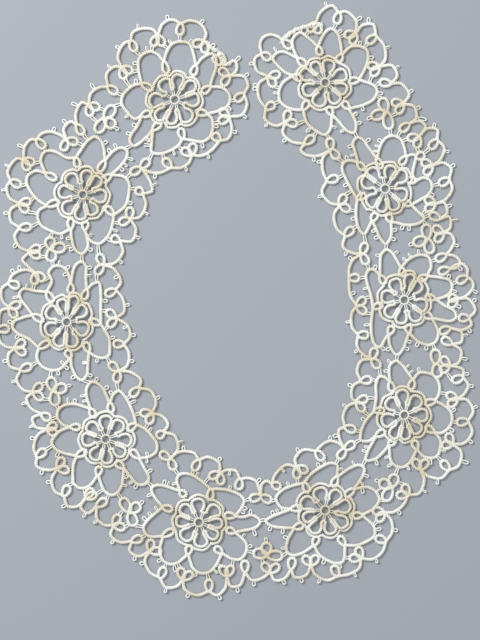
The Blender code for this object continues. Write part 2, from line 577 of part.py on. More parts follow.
def simplified(outline):
    """The outline without the points that hardly change it."""
    outline = list(outline)
    while len(outline) > 3:
        gaps = [
            away_from_line(point, outline[i - 1], outline[(i + 1) % len(outline)])
            for i, point in enumerate(outline)
        ]
        least = min(gaps)
        if least > OUTLINE_TOLERANCE:
            break
        outline.pop(gaps.index(least))
    return outline


def lace_slab(name, bands, cuts, thickness, material):
    """One flat closed piece of lace: what the bands cover, less what the cuts take, made solid upward."""
    low, high = reach(bands)
    cuts = [cut for cut in cuts if near(cut, low, high)]
    loops = [simplified(loop) for loop in outlines_of(*covered(bands, cuts))]
    outer = max(loops, key=area)
    holes = [loop[::-1] for loop in loops if area(loop) < -SMALLEST_HOLE]
    points, triangles = covered([outer], holes)

    mesh = bpy.data.meshes.new(name)
    mesh.from_pydata([(p.x, p.y, 0.0) for p in points], [], triangles)
    mesh.materials.append(material)
    bm = bmesh.new()
    bm.from_mesh(mesh)
    bmesh.ops.delete(bm, geom=[v for v in bm.verts if not v.link_faces], context="VERTS")
    bm.to_mesh(mesh)
    bm.free()
    piece = bpy.data.objects.new(name, mesh)
    solid = piece.modifiers.new("Thickness", "SOLIDIFY")
    solid.thickness = thickness
    solid.offset = 1.0
    PARTS.objects.link(piece)
    return piece


def thread_material(name, colour, roughness):
    material = bpy.data.materials.new(name)
    material.use_nodes = True
    shader = material.node_tree.nodes["Principled BSDF"]
    shader.inputs["Base Color"].default_value = (*colour, 1.0)
    shader.inputs["Roughness"].default_value = roughness
    shader.inputs["Metallic"].default_value = 0.0
    return material


for leftover in list(bpy.data.objects):
    bpy.data.objects.remove(leftover)

PARTS = bpy.data.collections.new("lace_collar")
bpy.context.scene.collection.children.link(PARTS)

placed = []
for medallion in MEDALLIONS:
    lace_slab(
        f"flower_{medallion.name}",
        [flower_rim(medallion)],
        petal_holes(medallion),
        FLOWER_THICK,
        thread_material(f"flower_thread_{medallion.name}", OLD_IVORY, 0.85),
    )
    lace_slab(
        f"arches_{medallion.name}",
        round_bands(medallion),
        placed + [flower_rim(medallion, SEAM_GAP)],
        LACE_THICK,
        thread_material(f"arch_thread_{medallion.name}", IVORY, 0.8),
    )
    placed += round_bands(medallion, SEAM_GAP)

for trefoil in TREFOILS:
    lace_slab(
        f"trefoil_{trefoil.name}",
        trefoil_bands(trefoil),
        placed,
        LACE_THICK,
        thread_material(f"trefoil_thread_{trefoil.name}", IVORY, 0.8),
    )
for trefoil in TREFOILS:
    placed += trefoil_bands(trefoil, SEAM_GAP)

for stretch, following in zip(STRETCHES, STRETCHES[1:] + STRETCHES[:1]):
    lace_slab(
        stretch.name,
        edging_bands(stretch, following),
        placed,
        LACE_THICK,
        thread_material(f"edging_thread_{stretch.name}", IVORY, 0.8),
    )
    placed += edging_bands(stretch, following, SEAM_GAP)
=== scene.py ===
"""The looks of a tatted lace collar: each chain, ring and picot is its own thread of aged cotton."""

from collections import namedtuple
from math import cos, hypot, pi, sin

import bpy
import numpy as np
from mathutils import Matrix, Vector
from mathutils.kdtree import KDTree


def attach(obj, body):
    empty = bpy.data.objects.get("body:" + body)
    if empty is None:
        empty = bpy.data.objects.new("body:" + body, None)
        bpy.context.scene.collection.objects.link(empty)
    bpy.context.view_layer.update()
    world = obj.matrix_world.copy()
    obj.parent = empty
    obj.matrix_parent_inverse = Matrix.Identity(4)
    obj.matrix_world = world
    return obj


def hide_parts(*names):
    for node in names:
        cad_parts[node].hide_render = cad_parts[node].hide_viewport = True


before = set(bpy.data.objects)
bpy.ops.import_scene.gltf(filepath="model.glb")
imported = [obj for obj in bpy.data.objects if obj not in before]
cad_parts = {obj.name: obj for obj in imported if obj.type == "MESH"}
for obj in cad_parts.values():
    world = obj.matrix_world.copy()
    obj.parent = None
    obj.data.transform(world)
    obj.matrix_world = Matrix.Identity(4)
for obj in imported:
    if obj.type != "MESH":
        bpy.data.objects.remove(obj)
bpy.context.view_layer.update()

# Sizes are in metres and angles in radians, where nothing else is said. A share is a part of one.

# The drawing grid: the size of a square, and the place in squares of the part's origin
GRID = 0.0005
ORIGIN_SQUARE = (236.7, 300.5)
CURVE_POINTS = 24  # from one place that a curve goes through to the next
LEAST_GAP = 1e-6
LEAST_POINTS = 3

# The photo's frame on the plan: its middle square, and its height
VIEW_SQUARE = (240, 320)
VIEW_HEIGHT = 640 * GRID
CAMERA_HEIGHT = 0.9
SENSOR_MM = 24

# Stitched and bare threads
STITCH = 0.0010  # one double stitch along a chain
STITCH_GROOVES = (1.0, 0.2, 0.0, 0.3)  # at each step of a stitch, as a share of the deepest
STEP = STITCH / len(STITCH_GROOVES)
RIB_DEPTH = 0.46  # the deepest groove, as a share of the thread
RIB_SLANT = 0.45
SWELL = 0.04  # how much a chain's width goes up and down, as a share
SWELL_TURN = 0.37  # a step
SWELL_START = 900  # a metre across the plan
SIDES, BARE_SIDES = 8, 6
END_SIZE = 0.55  # a thread's ends, as a share of its width
CHAIN_HALF_WIDTH = 0.00098
RING_HALF_WIDTH = 0.00094
CHAIN_HALF_HEIGHT = 0.00074
PICOT_HALF_WIDTH = 0.00034
LOW, HIGH = 0.00078, 0.00150  # heights of the thread's middle in the lower and upper layers
LEAST_HEIGHT = 0.00002

# Small rings, along the middle of their thread
EDGE_RING_WIDTH, EDGE_RING_LENGTH = 0.0036, 0.0056
SPOKE_RING_WIDTH, SPOKE_RING_LENGTH = 0.0030, 0.0060
TREFOIL_RING_WIDTH, TREFOIL_RING_LENGTH = 0.0046, 0.0090
RING_FULLNESS = 0.22  # how much wider a ring is in its far half, as a share
RING_POINTS = 49
FULL_TREFOIL = 3  # rings
FREE_RING = 1  # which of a full trefoil's rings, counted from 0

# Joins
JOIN_SPREAD = 0.0007  # each of a join's two threads, from the line between them
JOIN_END_SHARE = 0.6  # how much of that is left at the far end
JOIN_STEP = 0.0005
JOIN_LEAST, JOIN_MOST = 0.0006, 0.0036  # the gaps beyond a ring's far end that a join bridges
JOIN_FACING = 0.2  # the least cosine between a ring's direction and its join's

# Picots
PICOT_LEAST = 0.0026  # from the middle of its chain to its tip
PICOT_WIDTH = 0.0014
PICOT_FULLNESS = 0.4
PICOT_MOUTH = 0.35  # how far from its root's middle each end of the loop starts
PICOT_POINTS = 17
PICOT_TWIST, PICOT_TWIST_SPREAD = 0.5, 0.45
PICOT_TWIST_TURNS = (5100, 3700)  # a metre across and along the plan
PICOT_LIFT = 0.8
PICOT_WHITE = 0.3  # how far the colour goes back towards new cotton

# The darned ends
DARNING_HALF_WIDTH = 0.00032
DARNING_THREADS = 3
DARNING_PITCH = 0.0026  # along the chain, from one winding to the next
DARNING_STEPS = 8  # in a winding
DARNING_REACH = 0.0012  # how far a winding swings to each side of its chain
DARNING_RISE = 0.0008
DARNING_SWING, DARNING_SWING_SPREAD, DARNING_SWING_TURN = 0.75, 0.35, 0.11
DARNING_SLIP, DARNING_SLIP_TURN = 1.6, 0.19  # how far the windings shift, and how fast a step
DARNING_WHITE = 0.7

# The flower, in squares of the drawing out from its middle
CENTRE_RING = 4.3
CENTRE_RING_POINTS = 32
CENTRE_RING_HALF_WIDTH = 0.00058
PETAL_HALF_WIDTH = 0.00087
PETAL_FOOT, PETAL_FOOT_SPREAD = 8.8, 2.2
PETAL_SIDES = ((12.5, 3.4), (15.5, 5.1), (19, 6.3), (22, 6.0), (24.1, 3.9))  # (how far out, half its width)
PETAL_CREST = 25
PETAL_ROOM = 1.3  # from the line between two petals to the middle of a petal's thread
USUAL_SPAN = pi / 4  # from one valley between petals to the next
LEAST_FULLNESS, MOST_FULLNESS = 0.8, 1.45
FULLNESS_RANGE = (0.94, 1.04)
LEAN = 0.09  # the most that a petal's crest leans
USUAL_REACH = 18.8  # from the flower's middle to the middle of a petal's hole
REACH_SHARE, MOST_SHIFT = 0.8, 2.0  # how much of a hole's shift from there its petal follows
SHIFT_SPREAD = 0.4
CREST_SHARE = 1.2  # of the petal's shift
OUTER_FOOT, OUTER_FOOT_SPREAD = 24.2, 0.5
OUTER_CREST, OUTER_CREST_SHARE, OUTER_CREST_RANGE = 28.5, 0.8, (-0.3, 0.5)
SHOULDER_SHARE = 0.2  # of the span
SHOULDER_DROP = 1.4  # below the crest
SPOKE_HALF_WIDTH = 0.00028
SPOKE_STEP = 0.0006
SPOKE_SPREAD = 1.05  # each of a pair of spokes, from the line between them
SPOKE_START, SPOKE_MIDDLE = CENTRE_RING + 0.5, 7.5
SPOKE_PAST_FOOT = 1
SPOKE_SHARES = (0.8, 1.0, 0.9)  # of the spread, at a spoke's start, middle and end

# Crowded threads, the grooves between stitches and patches of noise each darken the cotton, from 0 where
# it's new to 1 where it's darkest. The grooves are painted shade, the crowding is painted shade between
# threads with some yellowing, and the patches are aged cotton.
NEW_COTTON = (0.925, 0.935, 0.885, 1)
AGED_AND_SHADED_COTTON = (0.70, 0.62, 0.45, 1)
# Painted shade between crowded threads, with some yellowing of the cotton: the counts below darken its
# colour
CROWD_REACH = 0.003  # how near its neighbours are counted
CROWD_EVERY = 3  # a neighbour at each so many points of a thread
CROWD_FROM, CROWD_TO = 10, 30  # neighbours
CROWD_SHADE_AND_AGE_SHARE = 0.30
# Painted shade in the grooves between stitches; a bare thread's negative groove makes it whiter
GROOVE_SHARE = 0.65
PATCH_SCALE, PATCH_DETAIL = 60, 3
PATCH_NOISE, PATCH_AGE = (0.42, 0.64), (-0.20, 0.55)  # a range of the noise, and the ages at its ends
COTTON_ROUGHNESS, COTTON_SHEEN, COTTON_GLOSS = 0.72, 0.15, 0.35
FUZZ_SCALE, FUZZ_DETAIL = 2600, 2
FUZZ_STRENGTH, FUZZ_DEPTH = 0.35, 0.0002

# The flat rectangle of a piece laid straight: an edging's width, and the least width or length of any other
# piece
EDGING_WIDTH = 0.013
NARROWEST_FLAT = 0.01

# The floor, the lamps and the sky
FLOOR_HALF = 3
FLOOR_COLOUR = (0.36, 0.385, 0.42, 1)
FLOOR_ROUGHNESS = 0.9
Lamp = namedtuple("Lamp", "name place size power")
LAMPS = [
    Lamp("key", (-0.9, 0.8, 1.1), 0.6, 24),
    Lamp("fill", (0.9, -0.6, 1.2), 1.2, 4),
]
SKY_COLOUR, SKY_STRENGTH = (0.95, 0.97, 1.0, 1), 0.42

# A medallion's spokes, clockwise from the top. Each small ring stands on the flower at its foot and
# closes at its head. The arch runs from that head, through its points, to the next spoke's head.
# The petal is the middle of the flower's hole between this spoke and the next.
Spoke = namedtuple("Spoke", "foot head petal arch")
Medallion = namedtuple("Medallion", "name centre spokes")
MEDALLION_PLACES = [
    ("l1", (175, 100), [
        ((168, 76), (164, 62), (178, 81), [(167, 52), (173, 44), (181, 42), (189, 44), (193, 52)]),
        ((192, 77), (196, 66), (190, 87), [(203, 58), (212, 54), (216, 59), (216, 68), (212, 80)]),
        ((201, 94), (210, 87), (193, 100), [(222, 88), (229, 94), (230, 101), (226, 108), (216, 112)]),
        ((196, 112), (207, 114), (186, 116), [(212, 119), (213, 127), (210, 137), (202, 142), (194, 141)]),
        ((180, 127), (183, 139), (172, 118), [(178, 146), (170, 151), (160, 154), (152, 152), (152, 142)]),
        ((162, 122), (153, 130), (161, 115), [(146, 138), (134, 146), (130, 141), (132, 134), (137, 127)]),
        ((152, 112), (142, 116), (156, 101), [(135, 119), (128, 113), (122, 104), (123, 96), (133, 86)]),
        ((156, 92), (142, 84), (166, 86), [(139, 72), (139, 60), (144, 54), (151, 52), (158, 55)]),
    ]),
    ("l2", (83, 195), [
        ((79, 169), (76, 158), (87, 177), [(82, 149), (88, 141), (95, 137), (101, 141), (104, 149)]),
        ((98, 174), (105, 161), (96, 182), [(114, 151), (122, 148), (127, 151), (127, 157), (120, 167)]),
        ((101, 183), (111, 175), (97, 196), [(124, 177), (129, 183), (129, 193), (126, 205), (119, 212)]),
        ((105, 206), (114, 215), (92, 209),
         [(113, 223), (110, 233), (104, 241), (98, 244), (91, 241), (87, 235)]),
        ((86, 220), (85, 230), (81, 214), [(87, 237), (88, 247), (82, 254), (75, 249), (72, 239)]),
        ((71, 217), (71, 229), (69, 208), [(60, 234), (51, 231), (42, 226), (38, 218), (39, 211)]),
        ((60, 201), (47, 206), (65, 192), [(38, 200), (30, 190), (27, 183), (28, 176), (37, 171)]),
        ((58, 180), (46, 174), (72, 180), [(41, 160), (45, 152), (51, 151), (58, 153), (67, 158)]),
    ]),
    ("l3", (67, 322), [
        ((71, 295), (71, 284), (74, 301), [(74, 269), (77, 264), (82, 262), (86, 266), (86, 278)]),
        ((83, 301), (87, 290), (81, 311), [(93, 284), (99, 283), (101, 294), (101, 308)]),
        ((88, 320), (101, 324), (81, 328), [(109, 338), (110, 347), (109, 355), (103, 358), (95, 356)]),
        ((85, 341), (89, 352), (72, 341), [(88, 365), (87, 375), (82, 380), (77, 377), (72, 367)]),
        ((66, 349), (71, 358), (60, 340), [(60, 369), (50, 370), (41, 365), (37, 357)]),
        ((51, 341), (39, 348), (52, 329), [(29, 339), (19, 334), (13, 328), (14, 322), (22, 318)]),
        ((45, 322), (33, 315), (55, 314), [(27, 307), (21, 299), (20, 293), (24, 289), (35, 291)]),
        ((54, 303), (47, 292), (63, 306), [(52, 281), (49, 273), (53, 267), (60, 266), (67, 271)]),
    ]),
    ("l4", (106, 439), [
        ((112, 414), (110, 403), (117, 427), [(114, 394), (119, 391), (124, 395), (130, 405), (134, 415)]),
        ((126, 431), (136, 424), (126, 440), [(145, 429), (152, 436), (157, 444), (156, 452), (148, 457)]),
        ((130, 449), (139, 458), (120, 451), [(145, 469), (149, 478), (145, 484), (138, 484), (131, 477)]),
        ((115, 461), (124, 468), (107, 457), [(122, 485), (118, 492), (112, 495), (105, 491)]),
        ((100, 465), (98, 475), (97, 453), [(89, 486), (80, 488), (74, 483), (73, 474), (74, 463)]),
        ((88, 450), (77, 456), (91, 439), [(64, 453), (56, 449), (52, 442), (56, 435), (62, 430)]),
        ((82, 427), (71, 427), (93, 428), [(64, 425), (58, 418), (58, 411), (63, 406), (74, 404)]),
        ((95, 418), (91, 409), (106, 423), [(87, 397), (87, 388), (92, 382), (101, 386)]),
    ]),
    ("l5", (199, 522), [
        ((210, 501), (211, 489), (214, 511), [(221, 489), (231, 491), (240, 495), (244, 500), (242, 507)]),
        ((223, 515), (235, 516), (216, 523), [(243, 517), (251, 515), (258, 518), (260, 522), (256, 527)]),
        ((225, 529), (235, 532), (212, 533), [(246, 543), (246, 552), (240, 559), (233, 559)]),
        ((214, 546), (222, 553), (201, 540), [(216, 565), (209, 572), (201, 573), (194, 569)]),
        ((190, 544), (188, 554), (189, 532), [(177, 563), (170, 564), (163, 560), (160, 551)]),
        ((175, 529), (163, 536), (183, 521), [(149, 536), (144, 530), (144, 526), (148, 520)]),
        ((174, 510), (163, 507), (186, 510), [(153, 494), (152, 488), (157, 485), (165, 486)]),
        ((187, 497), (180, 491), (198, 505), [(177, 479), (181, 474), (189, 474), (199, 479)]),
    ]),
    ("r5", (325, 510), [
        ((309, 493), (304, 483), (321, 496), [(311, 474), (321, 467), (330, 463), (337, 465)]),
        ((332, 488), (337, 477), (335, 496), [(350, 468), (359, 465), (364, 468), (363, 475)]),
        ((344, 497), (354, 489), (344, 506), [(367, 487), (376, 492), (379, 500), (374, 508)]),
        ((351, 516), (362, 515), (342, 522), [(374, 527), (374, 536), (367, 541), (357, 545)]),
        ((338, 535), (345, 545), (330, 527), [(343, 561), (336, 563), (327, 560), (319, 554)]),
        ((318, 535), (314, 545), (315, 527), [(302, 553), (292, 555), (287, 551), (287, 542)]),
        ((305, 524), (294, 528), (310, 516), [(277, 527), (270, 525), (266, 521), (269, 518)]),
        ((304, 507), (291, 509), (307, 503), [(281, 507), (276, 498), (281, 491), (291, 486)]),
    ]),
    ("r4", (404, 415), [
        ((393, 393), (390, 382), (402, 396), [(389, 372), (390, 365), (396, 361), (402, 365), (408, 373)]),
        ((410, 391), (413, 380), (415, 402), [(419, 373), (427, 373), (434, 376), (439, 384), (439, 393)]),
        ((423, 404), (435, 401), (418, 415), [(443, 405), (450, 411), (452, 418), (449, 427), (441, 433)]),
        ((424, 426), (434, 432), (415, 427), [(440, 440), (440, 448), (437, 456), (430, 458), (423, 456)]),
        ((413, 439), (417, 449), (405, 433), [(410, 462), (403, 467), (396, 466), (391, 461)]),
        ((396, 438), (389, 445), (395, 432), [(384, 451), (375, 459), (366, 460), (367, 453)]),
        ((386, 430), (376, 436), (391, 419), [(368, 441), (361, 440), (361, 432), (365, 422)]),
        ((386, 410), (374, 411), (393, 405), [(376, 398), (376, 384), (379, 377), (384, 377)]),
    ]),
    ("r3", (404, 300), [
        ((386, 285), (380, 276), (396, 286), [(380, 263), (381, 255), (386, 250), (391, 252), (396, 259)]),
        ((404, 278), (401, 268), (410, 279), [(407, 261), (413, 257), (420, 255), (428, 257), (431, 266)]),
        ((417, 281), (427, 276), (415, 288), [(442, 278), (450, 281), (452, 287), (449, 294), (441, 298)]),
        ((424, 296), (435, 299), (416, 304), [(445, 306), (454, 311), (456, 317), (451, 321), (441, 320)]),
        ((422, 313), (432, 318), (415, 315), [(438, 332), (436, 341), (429, 345), (419, 342), (412, 336)]),
        ((407, 323), (409, 333), (401, 317), [(406, 341), (403, 349), (397, 355), (392, 350), (389, 342)]),
        ((393, 325), (389, 334), (391, 311),
         [(385, 339), (380, 347), (375, 345), (372, 337), (371, 325), (372, 315)]),
        ((384, 304), (373, 308), (388, 297), [(371, 296), (367, 283), (366, 275), (369, 270), (374, 270)]),
    ]),
    ("r2", (385, 189), [
        ((365, 171), (358, 163), (373, 174), [(355, 152), (353, 143), (357, 138), (363, 140), (368, 147)]),
        ((382, 170), (377, 159), (390, 172), [(380, 147), (385, 139), (392, 136), (400, 139), (404, 147)]),
        ((399, 166), (406, 157), (401, 176), [(411, 155), (416, 156), (415, 162), (413, 170), (413, 176)]),
        ((405, 180), (416, 181), (396, 193), [(423, 178), (429, 180), (432, 187), (428, 195), (420, 200)]),
        ((401, 201), (411, 205), (393, 204), [(418, 212), (424, 219), (417, 224), (405, 225), (397, 223)]),
        ((387, 213), (391, 222), (382, 206), [(391, 236), (386, 244), (380, 238), (376, 229)]),
        ((377, 212), (372, 221), (375, 199), [(364, 234), (359, 229), (356, 216)]),
        ((367, 194), (357, 199), (368, 182), [(350, 187), (345, 177), (342, 168), (345, 162), (352, 161)]),
    ]),
    ("r1", (325, 83), [
        ((321, 57), (318, 47), (328, 67), [(321, 40), (325, 33), (331, 29), (337, 33), (340, 41)]),
        ((336, 64), (342, 55), (338, 77), [(351, 47), (361, 47), (367, 51), (368, 59), (365, 69)]),
        ((347, 82), (359, 80), (341, 89), [(374, 86), (377, 91), (374, 99), (364, 105)]),
        ((342, 101), (349, 109), (333, 96), [(356, 124), (354, 133), (347, 131), (339, 122)]),
        ((327, 106), (332, 115), (319, 101), [(330, 130), (325, 135), (316, 131), (307, 123)]),
        ((309, 100), (303, 110), (311, 89), [(295, 110), (286, 107), (280, 101), (279, 92), (283, 83)]),
        ((304, 80), (293, 76), (304, 74), [(286, 73), (277, 65), (273, 59), (276, 54), (283, 52)]),
        ((307, 67), (298, 59), (316, 68), [(293, 48), (293, 39), (300, 33), (308, 38)]),
    ]),
]
MEDALLIONS = [
    Medallion(name, centre, [Spoke(*places) for places in spokes])
    for name, centre, spokes in MEDALLION_PLACES
]

# Small rings about a middle. Each point is a ring's far end. The second ring of a full trefoil stands
# free, with a picot at its tip.
Trefoil = namedtuple("Trefoil", "name centre tips")

TREFOILS = [
    Trefoil("l1_l2", (105, 119), [(115, 105), (116, 128), (96, 134)]),
    Trefoil("l2_l3", (51, 249), [(50, 236), (67, 247), (52, 263)]),
    Trefoil("l3_l4", (54, 391), [(50, 376), (68, 386), (56, 407)]),
    Trefoil("l4_l5", (130, 512), [(121, 497), (141, 503), (135, 527)]),
    Trefoil("l5_r5", (267, 555), [(252, 552), (266, 541), (284, 556)]),
    Trefoil("r5_r4", (391, 487), [(396, 473), (378, 481), (384, 502)]),
    Trefoil("r4_r3", (436, 364), [(435, 348), (438, 379)]),
    Trefoil("r3_r2", (427, 239), [(426, 223), (412, 244), (431, 255)]),
    Trefoil("r2_r1", (386, 112), [(381, 97), (370, 118), (390, 131)]),
]

